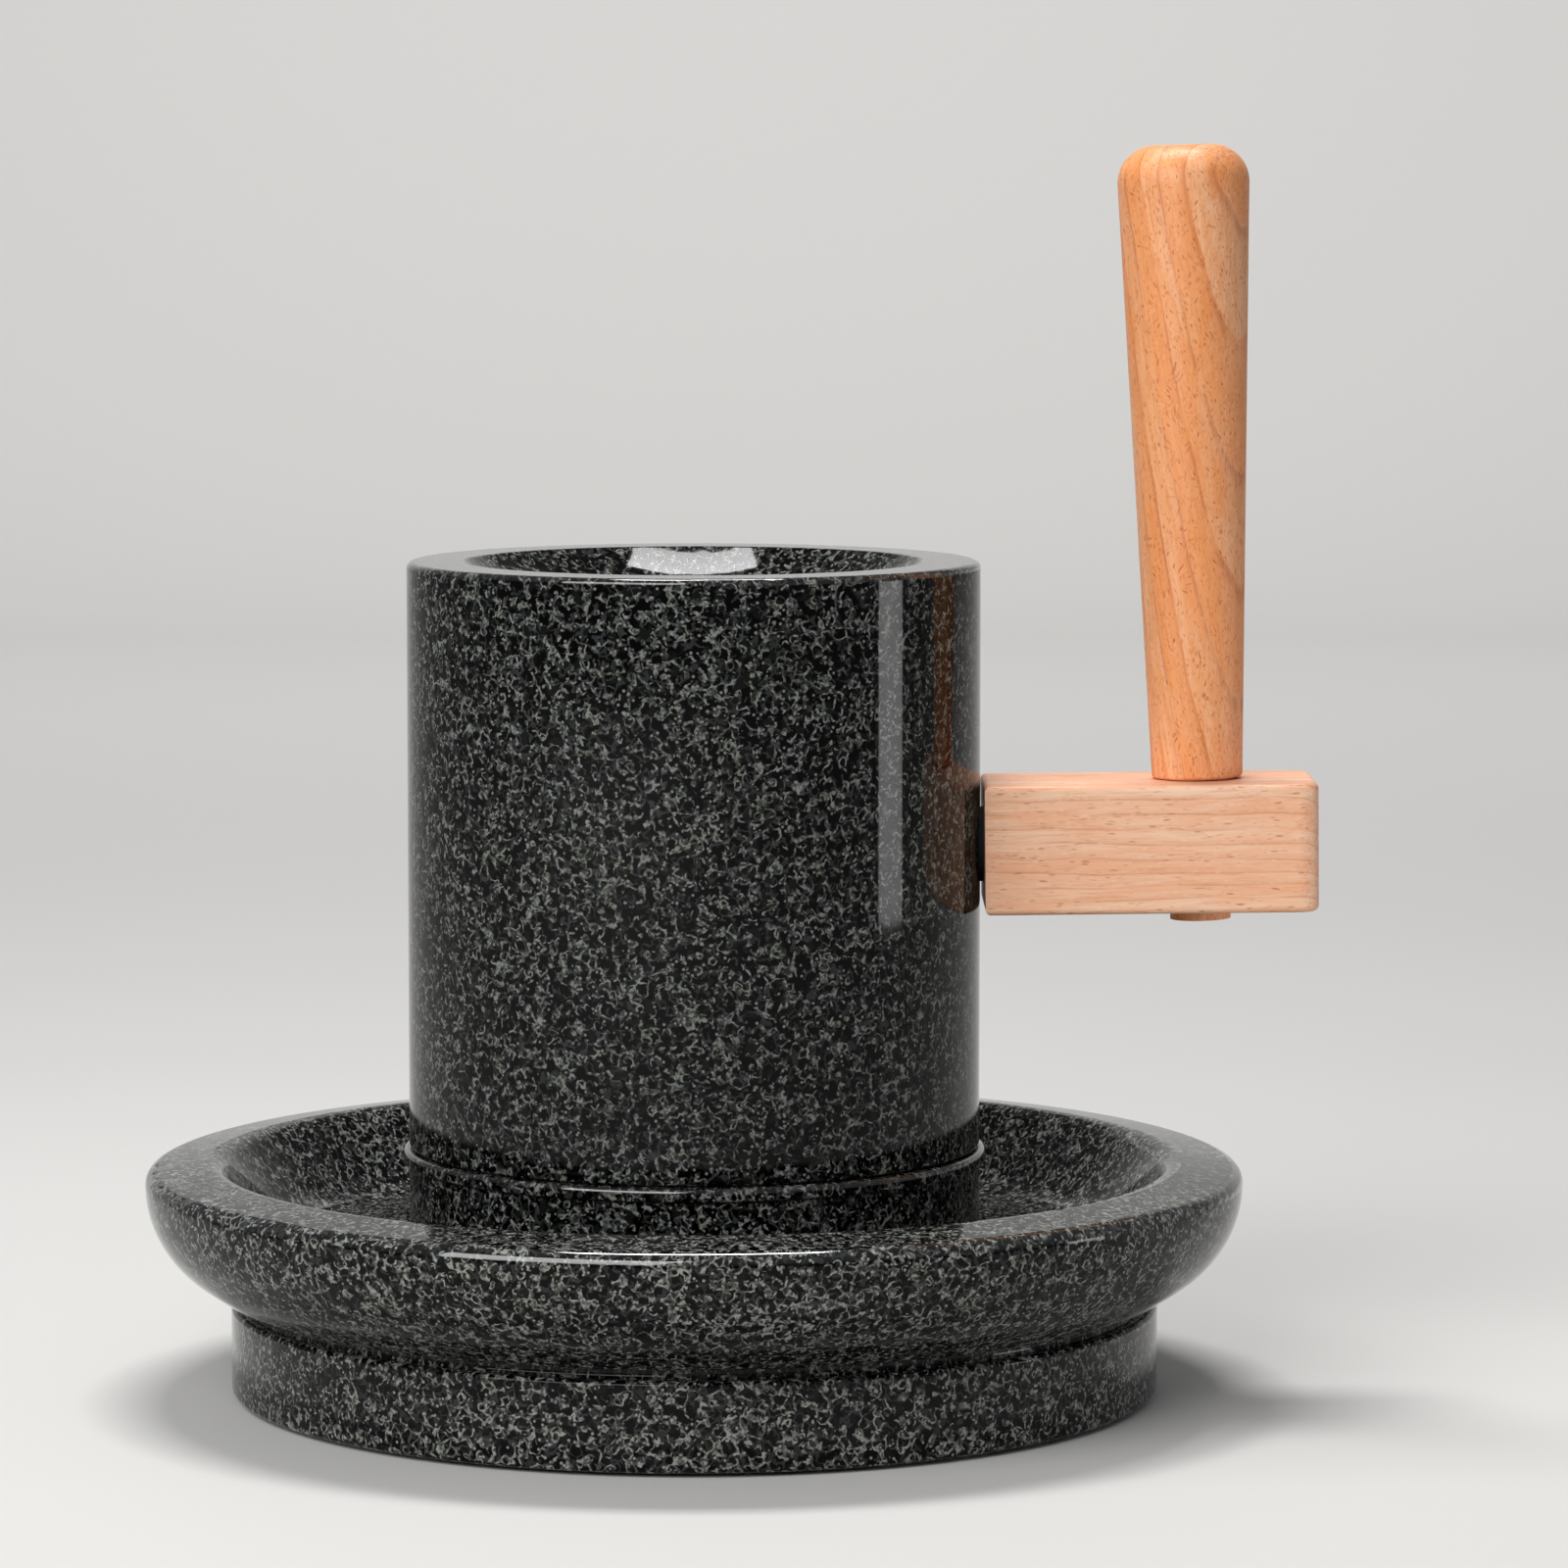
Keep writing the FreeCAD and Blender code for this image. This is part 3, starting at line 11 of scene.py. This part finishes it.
import bpy
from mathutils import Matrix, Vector

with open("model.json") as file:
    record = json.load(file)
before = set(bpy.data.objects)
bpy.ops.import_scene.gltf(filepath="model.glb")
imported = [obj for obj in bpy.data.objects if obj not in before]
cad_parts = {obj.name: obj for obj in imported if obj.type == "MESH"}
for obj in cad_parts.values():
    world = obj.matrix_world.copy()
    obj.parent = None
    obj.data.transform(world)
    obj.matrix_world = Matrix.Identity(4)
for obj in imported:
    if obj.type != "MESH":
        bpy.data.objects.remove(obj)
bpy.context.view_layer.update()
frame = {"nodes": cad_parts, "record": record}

MM = 0.001


# ---------------------------------------------------------------- node helpers

# Sockets of the Mix node that have the same names as others, by their place.
MIX_FIRST_COLOUR = 6
MIX_SECOND_COLOUR = 7
MIX_COLOUR_RESULT = 2


class Graph:
    """A material's node tree. Each method adds a node and returns its output socket."""

    def __init__(self, name):
        self.material = bpy.data.materials.new(name)
        self.material.use_nodes = True
        self.tree = self.material.node_tree
        self.tree.nodes.clear()

    def node(self, kind, **settings):
        """The new node itself, with these settings."""
        made = self.tree.nodes.new(kind)
        for name, value in settings.items():
            setattr(made, name, value)
        return made

    def feed(self, socket, value):
        """Set an input from a number, a tuple or another node's output."""
        if isinstance(value, bpy.types.NodeSocket):
            self.tree.links.new(value, socket)
        elif value is not None:
            socket.default_value = value

    def place(self):
        """The point's place in the mill's frame, in millimetres."""
        coordinates = self.node("ShaderNodeTexCoord")
        return self.scale(coordinates.outputs["Object"], 1 / MM)

    def scale(self, vector, factor):
        made = self.node("ShaderNodeVectorMath", operation="SCALE")
        self.feed(made.inputs[0], vector)
        made.inputs["Scale"].default_value = factor
        return made.outputs[0]

    def vector(self, operation, first, second):
        made = self.node("ShaderNodeVectorMath", operation=operation)
        self.feed(made.inputs[0], first)
        self.feed(made.inputs[1], second)
        return made.outputs[0]

    def length(self, vector):
        made = self.node("ShaderNodeVectorMath", operation="LENGTH")
        self.feed(made.inputs[0], vector)
        return made.outputs["Value"]

    def squeezed(self, vector, along_z):
        """The vector with its Z shrunk to this share, which draws a texture out along Z."""
        return self.vector("MULTIPLY", vector, (1.0, 1.0, along_z))

    def radius(self, vector):
        """Distance from the Z axis."""
        return self.length(self.squeezed(vector, 0.0))

    def turned(self, vector, angles):
        """The vector in a frame turned by these angles about X, Y and Z."""
        made = self.node("ShaderNodeVectorRotate", rotation_type="EULER_XYZ", invert=True)
        self.feed(made.inputs["Vector"], vector)
        made.inputs["Rotation"].default_value = angles
        return made.outputs[0]

    def math(self, operation, first, second=None, third=None, clamp=False):
        made = self.node("ShaderNodeMath", operation=operation, use_clamp=clamp)
        self.feed(made.inputs[0], first)
        self.feed(made.inputs[1], second)
        self.feed(made.inputs[2], third)
        return made.outputs[0]

    def ramp(self, value, low, high, out_low=0.0, out_high=1.0):
        """A smooth step of value from low to high."""
        made = self.node("ShaderNodeMapRange", interpolation_type="SMOOTHSTEP")
        self.feed(made.inputs["Value"], value)
        made.inputs["From Min"].default_value = low
        made.inputs["From Max"].default_value = high
        made.inputs["To Min"].default_value = out_low
        made.inputs["To Max"].default_value = out_high
        return made.outputs["Result"]

    def fall(self, value, low, high):
        """A smooth step down: 1 below low, 0 above high."""
        return self.ramp(value, low, high, 1.0, 0.0)

    def noise(self, vector, size, detail=2.0, roughness=0.5, colour=False):
        """Noise whose features are about size millimetres across."""
        made = self.node("ShaderNodeTexNoise")
        self.feed(made.inputs["Vector"], vector)
        made.inputs["Scale"].default_value = 1 / size
        made.inputs["Detail"].default_value = detail
        made.inputs["Roughness"].default_value = roughness
        return made.outputs["Color" if colour else "Fac"]

    def cells(self, vector, size, feature="F1"):
        """Voronoi cells about size millimetres across: (distance, a random colour per cell)."""
        made = self.node("ShaderNodeTexVoronoi", feature=feature)
        self.feed(made.inputs["Vector"], vector)
        made.inputs["Scale"].default_value = 1 / size
        return made.outputs["Distance"], made.outputs.get("Color")

    def channel(self, colour, index):
        """One number of a colour or vector: 0, 1 or 2."""
        made = self.node("ShaderNodeSeparateColor")
        self.feed(made.inputs[0], colour)
        return made.outputs[index]

    def centred_noise(self, vector, size, detail):
        """A random vector whose parts lie round 0, within half a unit."""
        noise = self.noise(vector, size, detail, colour=True)
        return self.vector("SUBTRACT", noise, (0.5, 0.5, 0.5))

    def warp(self, vector, size, reach, detail=1.0):
        """The vector pushed about by noise, by up to half of reach."""
        push = self.scale(self.centred_noise(vector, size, detail), reach)
        return self.vector("ADD", vector, push)

    def mix(self, share, first, second):
        """From the first colour to the second as share goes from 0 to 1."""
        made = self.node("ShaderNodeMix", data_type="RGBA")
        self.feed(made.inputs["Factor"], share)
        self.feed(made.inputs[MIX_FIRST_COLOUR], first)
        self.feed(made.inputs[MIX_SECOND_COLOUR], second)
        return made.outputs[MIX_COLOUR_RESULT]

    def bump(self, height, distance, strength):
        """A normal from a height, in which 1 stands for this distance in millimetres."""
        made = self.node("ShaderNodeBump")
        self.feed(made.inputs["Height"], height)
        made.inputs["Distance"].default_value = distance * MM
        made.inputs["Strength"].default_value = strength
        return made.outputs[0]

    def finish(self, colour, roughness, normal=None, **settings):
        """The material, with further inputs of the shader as settings."""
        shader = self.node("ShaderNodeBsdfPrincipled")
        self.feed(shader.inputs["Base Color"], colour)
        self.feed(shader.inputs["Roughness"], roughness)
        self.feed(shader.inputs["Normal"], normal)
        for name, value in settings.items():
            self.feed(shader.inputs[name.replace("_", " ")], value)
        output = self.node("ShaderNodeOutputMaterial")
        self.tree.links.new(shader.outputs[0], output.inputs["Surface"])
        return self.material


def srgb(red, green, blue):
    """A colour as seen on a screen, 0 to 255, in the linear numbers that shaders take."""
    def linear(value):
        value /= 255
        return value / 12.92 if value <= 0.04045 else ((value + 0.055) / 1.055) ** 2.4
    return (linear(red), linear(green), linear(blue), 1.0)


# ---------------------------------------------------------------- stone

GRANITE_GROUND = srgb(2, 2, 2)
GRANITE_PATCH = srgb(17, 19, 17)
BAR_COLOURS = (srgb(42, 44, 41), srgb(49, 50, 51))
CRYSTAL_COLOURS = (srgb(110, 114, 105), srgb(117, 120, 117))
BRIGHTEST_CRYSTAL = srgb(214, 215, 206)
FLAT_SHINE = 0.13
EDGE_SHINE = 0.7

# One texture is read at several places, so that its copies don't coincide.
NO_SHIFT = (0.0, 0.0, 0.0)
HOOK_SHIFT = (31.0, 7.0, 13.0)
BAR_SHIFT = (5.0, 47.0, 29.0)


def band(g, distance, middle, half_width):
    """1 where a distance is within half_width of the middle value, falling off softly."""
    away = g.math("ABSOLUTE", g.math("SUBTRACT", distance, middle))
    return g.fall(away, half_width * 0.35, half_width * 1.1)


def broken(g, lines, place, piece, share):
    """Lines cut into pieces by noise of this size. The larger share is, the more is kept."""
    threshold = 0.62 - 0.24 * share
    keep = g.ramp(g.noise(place, piece, detail=0.0), threshold, threshold + 0.04)
    return g.math("MULTIPLY", lines, keep)


def twigs(g, place, shift, size, half_width, piece, share):
    """Short branching crystals: walls between the cells of a foam, broken into pieces."""
    moved = g.vector("ADD", place, shift)
    walls = g.cells(moved, size, "DISTANCE_TO_EDGE")[0]
    return broken(g, band(g, walls, 0.0, half_width / size), moved, piece, share)


def curls(g, place, shift, size, radius, half_width, piece, share):
    """Hooks and loops of one radius round scattered points, broken into pieces."""
    moved = g.vector("ADD", place, shift)
    near = g.cells(moved, size)[0]
    return broken(g, band(g, near, radius / size, half_width / size), moved, piece, share)


def polished_edges(g, place, radius):
    """1 on rounded edges that face up and out, further than radius from the mill's axis."""
    upward = g.channel(g.node("ShaderNodeNewGeometry").outputs["Normal"], 2)
    leaning = g.math("MULTIPLY", g.ramp(upward, 0.1, 0.35), g.fall(upward, 0.9, 0.98))
    outside = g.ramp(g.radius(place), radius - 0.1, radius + 0.1)
    return g.math("MULTIPLY", leaning, outside)


def granite(name, density, lightness, edge_radius):
    """Polished dark granite: a near-black ground full of short curled crystals and pale dots.
    The larger density is, the more crystals there are; lightness is the tone of the brightest.
    Edges beyond edge_radius from the mill's axis shine most."""
    g = Graph(name)
    place = g.place()
    bent = g.warp(place, size=2.0, reach=1.7)

    # Crystals of three kinds, all much of one width: twigs, hooks and dull short bars.
    twig = twigs(g, bent, NO_SHIFT, size=2.6, half_width=0.29, piece=2.2, share=density)
    hook = curls(g, bent, HOOK_SHIFT, size=2.7, radius=0.95, half_width=0.28, piece=2.3,
                 share=density)
    bar = twigs(g, bent, BAR_SHIFT, size=2.0, half_width=0.28, piece=1.8, share=density)
    bright = g.math("MAXIMUM", twig, hook)

    # Their tone wanders along them, and whole regions are a little richer or poorer.
    along_crystals = g.noise(bent, size=1.2, detail=3.0, roughness=0.65)
    tone = g.ramp(along_crystals, 0.38, 0.72, 0.1, 1.3)
    tint = g.ramp(g.noise(place, size=5.0, detail=1.0), 0.4, 0.6)
    cloud = g.ramp(g.noise(place, size=16.0, detail=3.0), 0.32, 0.68)
    richness = g.math("MULTIPLY_ADD", cloud, 0.35, 0.78)

    # Dots of feldspar, and dull patches of half-hidden crystals in the ground.
    dot_distance, dot_colour = g.cells(place, size=1.5)
    fewest = 0.68 - density * 0.3
    dot_pick = g.ramp(g.channel(dot_colour, 1), fewest, fewest + 0.04)
    dots = g.math("MULTIPLY", g.fall(dot_distance, 0.12, 0.3), dot_pick)
    patch = g.ramp(g.noise(bent, size=2.6, detail=1.0), 0.52, 0.62)

    pale = g.mix(lightness, g.mix(tint, *CRYSTAL_COLOURS), BRIGHTEST_CRYSTAL)
    ground = g.mix(patch, GRANITE_GROUND, GRANITE_PATCH)
    colour = g.mix(g.math("MULTIPLY", bar, richness), ground, g.mix(tint, *BAR_COLOURS))
    strength = g.math("MULTIPLY", tone, richness, clamp=True)
    colour = g.mix(g.math("MULTIPLY", bright, strength), colour, pale)
    colour = g.mix(g.math("MULTIPLY", dots, 0.9), colour, pale)

    roughness = g.math("MULTIPLY_ADD", bright, 0.012, 0.045)
    waviness = g.bump(g.noise(place, size=11.0, detail=1.0), distance=0.015, strength=0.5)
    shine = g.math("MULTIPLY_ADD", polished_edges(g, place, edge_radius), EDGE_SHINE, FLAT_SHINE)
    return g.finish(colour, roughness, waviness, Specular_IOR_Level=shine)


# ---------------------------------------------------------------- wood

Flecks = namedtuple("Flecks", "share strength slimness lean")
Palette = namedtuple("Palette", "pale body late fleck blush")

SMALL_FLECK_SHIFT = (17.0, 5.0, 71.0)
PALE_FLECK_SHIFT = (43.0, 19.0, 31.0)


def lenses(g, along, shift, size, slimness, share):
    """Small lens shapes along the fibre, in this share of the cells: how far inside one we are."""
    moved = g.vector("ADD", along, shift)
    distance, tone = g.cells(g.squeezed(moved, 1 / slimness), size)
    pick = g.ramp(g.channel(tone, 0), 1 - share, 1.05 - share)
    shape = g.math("MULTIPLY", g.fall(distance, 0.2, 0.42), pick)
    return g.math("MULTIPLY", shape, g.math("MULTIPLY_ADD", g.channel(tone, 1), 0.65, 0.35))


def beech(name, middle, fibre, log_axis, ring_width, sway, line, flecks, palette):
    """Oiled beech: growth rings round a log axis, close ray flecks and fine fibre.
    The frame that the angles in fibre turn has its Z along the fibre and its origin at middle;
    log_axis is where the log's heart lies in it. sway is how far the fibre wanders, and line how
    dark the ring lines are."""
    pale, body, late, fleck, blush = palette
    share, strength, slimness, lean = flecks
    g = Graph(name)
    along = g.turned(g.vector("SUBTRACT", g.place(), middle), fibre)
    wander = g.centred_noise(g.squeezed(along, 0.3), size=12.0, detail=2.0)
    swaying = g.vector("ADD", along, g.scale(wander, sway))

    # Growth rings: each with a tone of its own, and a thin late-wood line at its outer edge.
    from_heart = g.radius(g.vector("SUBTRACT", swaying, log_axis))
    count = g.math("DIVIDE", from_heart, ring_width)
    ring = g.math("FRACT", count)
    chance = g.node("ShaderNodeTexWhiteNoise", noise_dimensions="1D")
    g.feed(chance.inputs["W"], g.math("FLOOR", count))
    ring_tone = chance.outputs["Value"]
    ring_end = g.fall(ring, 0.95, 1.0)
    ring_line = g.math("MULTIPLY", g.ramp(ring, 0.8, 0.93), ring_end)
    rise = g.math("MULTIPLY", g.ramp(ring, 0.25, 0.9), ring_end)
    patchy = g.ramp(g.noise(g.squeezed(swaying, 0.16), size=3.5), 0.3, 0.6)
    late_wood = g.math("MULTIPLY", g.math("MULTIPLY_ADD", rise, 0.3, ring_line), patchy)

    # Fibre: streaks at two widths, and the flecks between them, which lean a little each way.
    thread = g.squeezed(swaying, 0.05)
    coarse_fibre = g.noise(thread, size=1.7, detail=3.0, roughness=0.6)
    fine_fibre = g.noise(thread, size=0.45, detail=3.0, roughness=0.6)
    leaning = g.warp(swaying, size=7.0, reach=lean)
    dark_flecks = lenses(g, leaning, NO_SHIFT, 0.62, slimness, share)
    small_flecks = lenses(g, leaning, SMALL_FLECK_SHIFT, 0.42, slimness, share)
    pale_flecks = lenses(g, leaning, PALE_FLECK_SHIFT, 0.9, slimness=2.6, share=0.5)

    flush = g.ramp(g.noise(g.squeezed(swaying, 0.14), size=4.5, detail=1.0), 0.5, 0.72)
    colour = g.mix(g.ramp(coarse_fibre, 0.32, 0.66), pale, body)
    colour = g.mix(g.math("MULTIPLY", ring_tone, 0.7), colour, blush)
    colour = g.mix(g.math("MULTIPLY", flush, 0.6), colour, blush)
    colour = g.mix(g.math("MULTIPLY", late_wood, line, clamp=True), colour, late)
    colour = g.mix(g.ramp(fine_fibre, 0.45, 0.75, 0.0, 0.4), colour, late)
    colour = g.mix(g.math("MULTIPLY", pale_flecks, 0.4), colour, pale)
    colour = g.mix(g.math("MULTIPLY", small_flecks, strength * 0.6), colour, fleck)
    colour = g.mix(g.math("MULTIPLY", dark_flecks, strength), colour, fleck)

    relief = g.math("SUBTRACT", g.math("MULTIPLY", fine_fibre, 0.3), dark_flecks)
    roughness = g.math("MULTIPLY_ADD", fine_fibre, 0.16, 0.38)
    pores = g.bump(relief, distance=0.06, strength=0.6)
    return g.finish(colour, roughness, pores, Specular_IOR_Level=0.5)


# ---------------------------------------------------------------- metal, rubber, cork, polymer

LATHE_GROOVES_PER_MM = 9.0


def turned_metal(name, pale, dark, roughness):
    """Metal turned on a lathe: fine rings round the mill's axis."""
    g = Graph(name)
    place = g.place()
    groove_place = g.node("ShaderNodeCombineXYZ")
    across = g.math("MULTIPLY", g.radius(place), LATHE_GROOVES_PER_MM)
    upwards = g.math("MULTIPLY", g.channel(place, 2), LATHE_GROOVES_PER_MM)
    g.feed(groove_place.inputs["X"], across)
    g.feed(groove_place.inputs["Z"], upwards)
    rings = g.noise(groove_place.outputs[0], size=1.0)
    smudge = g.ramp(g.noise(place, size=5.0, detail=3.0), 0.35, 0.7)
    colour = g.mix(smudge, pale, dark)
    rough = g.math("MULTIPLY_ADD", rings, 0.16, roughness)
    return g.finish(colour, rough, g.bump(rings, distance=0.012, strength=0.5), Metallic=1.0)


def rubber(name):
    """Matt black rubber with a little pale dust."""
    g = Graph(name)
    place = g.place()
    grit = g.noise(place, size=0.7)
    dust = g.ramp(g.noise(place, size=18.0, detail=3.0), 0.45, 0.8)
    colour = g.mix(g.math("MULTIPLY", dust, 0.35), srgb(30, 30, 31), srgb(62, 61, 58))
    roughness = g.math("MULTIPLY_ADD", grit, 0.15, 0.72)
    return g.finish(colour, roughness, g.bump(grit, distance=0.12, strength=0.6))


def cork(name):
    """Pressed cork: grains of several browns with dark seams between them."""
    g = Graph(name)
    place = g.place()
    distance, tone = g.cells(g.warp(place, size=1.5, reach=0.8), size=1.9)
    seams = g.ramp(distance, 0.42, 0.62)
    colour = g.mix(g.channel(tone, 0), srgb(176, 134, 92), srgb(205, 165, 120))
    colour = g.mix(g.math("MULTIPLY", seams, 0.6), colour, srgb(96, 64, 40))
    return g.finish(colour, roughness=0.85, normal=g.bump(seams, distance=0.15, strength=-0.6))


def polyamide(name):
    """Moulded cage polymer, ivory and faintly mottled."""
    g = Graph(name)
    place = g.place()
    mottle = g.noise(place, size=1.2, detail=3.0)
    colour = g.mix(mottle, srgb(214, 202, 172), srgb(232, 222, 196))
    roughness = g.math("MULTIPLY_ADD", mottle, 0.2, 0.4)
    return g.finish(colour, roughness, g.bump(mottle, distance=0.02, strength=0.4))


# ---------------------------------------------------------------- materials on the pieces

# The edges that shine lie this near the outside of the tray and of the runner, in millimetres.
TRAY_EDGE_WIDTH = 4.0
STONE_EDGE_WIDTH = 1.8


def reach(node):
    """How far a round piece reaches from the mill's axis, in millimetres."""
    piece = frame["nodes"][node]
    corners = [piece.matrix_world @ corner.co for corner in piece.data.vertices]
    return max(math.hypot(corner.x, corner.y) for corner in corners) / MM


def degrees(*angles):
    return tuple(math.radians(angle) for angle in angles)


ARM_PALETTE = Palette(pale=srgb(253, 212, 180), body=srgb(247, 190, 152),
                      late=srgb(212, 140, 100), fleck=srgb(178, 98, 56),
                      blush=srgb(246, 177, 135))
GRIP_PALETTE = Palette(pale=srgb(252, 192, 146), body=srgb(245, 172, 118),
                       late=srgb(200, 114, 62), fleck=srgb(186, 92, 40),
                       blush=srgb(244, 150, 78))
ARM_FLECKS = Flecks(share=0.24, strength=0.6, slimness=5.0, lean=1.8)
GRIP_FLECKS = Flecks(share=0.5, strength=0.8, slimness=3.6, lean=6.0)

materials = {
    "tray_granite": granite("tray_granite", density=0.66, lightness=0.24,
                            edge_radius=reach("tray_base") - TRAY_EDGE_WIDTH),
    "stone_granite": granite("stone_granite", density=0.5, lightness=0.08,
                             edge_radius=reach("upper_stone") - STONE_EDGE_WIDTH),
    "arm_wood": beech("arm_wood", middle=(100.0, 0.0, 119.0), fibre=degrees(2, 89, 0),
                      log_axis=(-70.0, 14.0, 0.0), ring_width=2.9, sway=3.0, line=0.45,
                      flecks=ARM_FLECKS, palette=ARM_PALETTE),
    "grip_wood": beech("grip_wood", middle=(114.0, 0.0, 200.0), fibre=degrees(-4.9, -8.5, 0),
                       log_axis=(-61.0, 35.0, 0.0), ring_width=4.9, sway=2.6, line=0.48,
                       flecks=GRIP_FLECKS, palette=GRIP_PALETTE),
    "stainless": turned_metal("stainless", pale=srgb(168, 167, 164), dark=srgb(140, 139, 136),
                              roughness=0.28),
    "bearing_steel": turned_metal("bearing_steel", pale=srgb(222, 223, 224),
                                  dark=srgb(202, 203, 205), roughness=0.1),
    "brass": turned_metal("brass", pale=srgb(224, 190, 110), dark=srgb(198, 160, 82),
                          roughness=0.22),
    "rubber": rubber("rubber"),
    "cork": cork("cork"),
    "cage_polymer": polyamide("cage_polymer"),
}

for part in frame["record"]["subparts"]:
    mesh = frame["nodes"][part["node"]].data
    mesh.materials.clear()
    mesh.materials.append(materials[part["material_slot"]])


# ---------------------------------------------------------------- stage, light and camera

FLOOR_COLOUR = srgb(220, 219, 216)
FLOOR_BOUNCE = srgb(182, 182, 180)
WORLD_COLOUR = (0.22, 0.22, 0.23, 1.0)
MILL_MIDDLE = (0.0, 0.0, 0.12)
BACKDROP_MIDDLE = (0.0, 2.9, 0.9)
STRIP_HEIGHT = 0.085


def studio_paint(name, colour, bounce):
    """Plain paint that the camera and reflections see in its colour, and that throws the weaker
    bounce colour back at the mill, as a floor does that is pale but dimly lit."""
    g = Graph(name)
    path = g.node("ShaderNodeLightPath").outputs
    seen = g.math("MAXIMUM", path["Is Camera Ray"], path["Is Glossy Ray"])
    seen = g.math("MAXIMUM", seen, path["Is Transmission Ray"])
    return g.finish(g.mix(seen, bounce, colour), roughness=0.7, Specular_IOR_Level=0.2)


def sweep(name, half_width, front, bend_start, bend_radius, height):
    """A floor that curves up into a backdrop behind the mill."""
    path = [(front, 0.0), (bend_start, 0.0)]
    steps = 24
    for step in range(1, steps + 1):
        angle = math.pi / 2 * step / steps
        path.append((bend_start + bend_radius * math.sin(angle),
                     bend_radius * (1 - math.cos(angle))))
    path.append((bend_start + bend_radius, height))
    points = [(side * half_width, y, z) for y, z in path for side in (-1, 1)]
    faces = [(2 * i, 2 * i + 1, 2 * i + 3, 2 * i + 2) for i in range(len(path) - 1)]
    mesh = bpy.data.meshes.new(name)
    mesh.from_pydata(points, [], faces)
    mesh.materials.append(studio_paint(name, FLOOR_COLOUR, FLOOR_BOUNCE))
    for face in mesh.polygons:
        face.use_smooth = True
    made = bpy.data.objects.new(name, mesh)
    bpy.context.scene.collection.objects.link(made)


def softbox(name, place, target, width, height, radiance, spread=180.0):
    """A rectangular lamp with the radiance of its surface, which shines within this spread."""
    data = bpy.data.lights.new(name, "AREA")
    data.shape = "RECTANGLE"
    data.size = width
    data.size_y = height
    data.energy = radiance * math.pi * width * height
    data.spread = math.radians(spread)
    lamp = bpy.data.objects.new(name, data)
    bpy.context.scene.collection.objects.link(lamp)
    aim = [t - p for t, p in zip(target, place)]
    lamp.location = place
    lamp.rotation_euler = Vector(aim).to_track_quat("-Z", "Y").to_euler()


sweep("studio_sweep", half_width=2.6, front=-2.4, bend_start=2.3, bend_radius=0.7, height=1.8)
softbox("overhead_lamp", (0.0, 0.28, 1.38), MILL_MIDDLE, width=0.56, height=0.24, radiance=29.0)
softbox("side_strip_lamp", (0.78, -0.10, STRIP_HEIGHT), (0.0, 0.0, STRIP_HEIGHT), width=0.17,
        height=0.12, radiance=0.6, spread=50.0)
softbox("front_lamp", (-0.8, -1.4, 1.0), MILL_MIDDLE, width=1.5, height=1.1, radiance=5.5)
softbox("backdrop_lamp", (0.0, 1.5, 1.7), BACKDROP_MIDDLE, width=2.4, height=0.5, radiance=7.0)

world = bpy.data.worlds.new("studio_world")
world.use_nodes = True
world.node_tree.nodes["Background"].inputs["Color"].default_value = WORLD_COLOUR
bpy.context.scene.world = world

CAMERA_PLACE = (0.02044, -1.5, 0.2847)
CAMERA_PITCH = 5.557
FOCAL_LENGTH_IN_PIXELS = 6770.0
IMAGE_WIDTH_IN_PIXELS = 1600.0
SENSOR_WIDTH = 36.0

camera_data = bpy.data.cameras.new("camera")
camera_data.sensor_width = SENSOR_WIDTH
camera_data.lens = FOCAL_LENGTH_IN_PIXELS / IMAGE_WIDTH_IN_PIXELS * SENSOR_WIDTH
camera = bpy.data.objects.new("camera", camera_data)
camera.location = CAMERA_PLACE
camera.rotation_euler = (math.radians(90 - CAMERA_PITCH), 0.0, 0.0)
bpy.context.scene.collection.objects.link(camera)
bpy.context.scene.camera = camera
bpy.context.scene.view_settings.view_transform = "Standard"
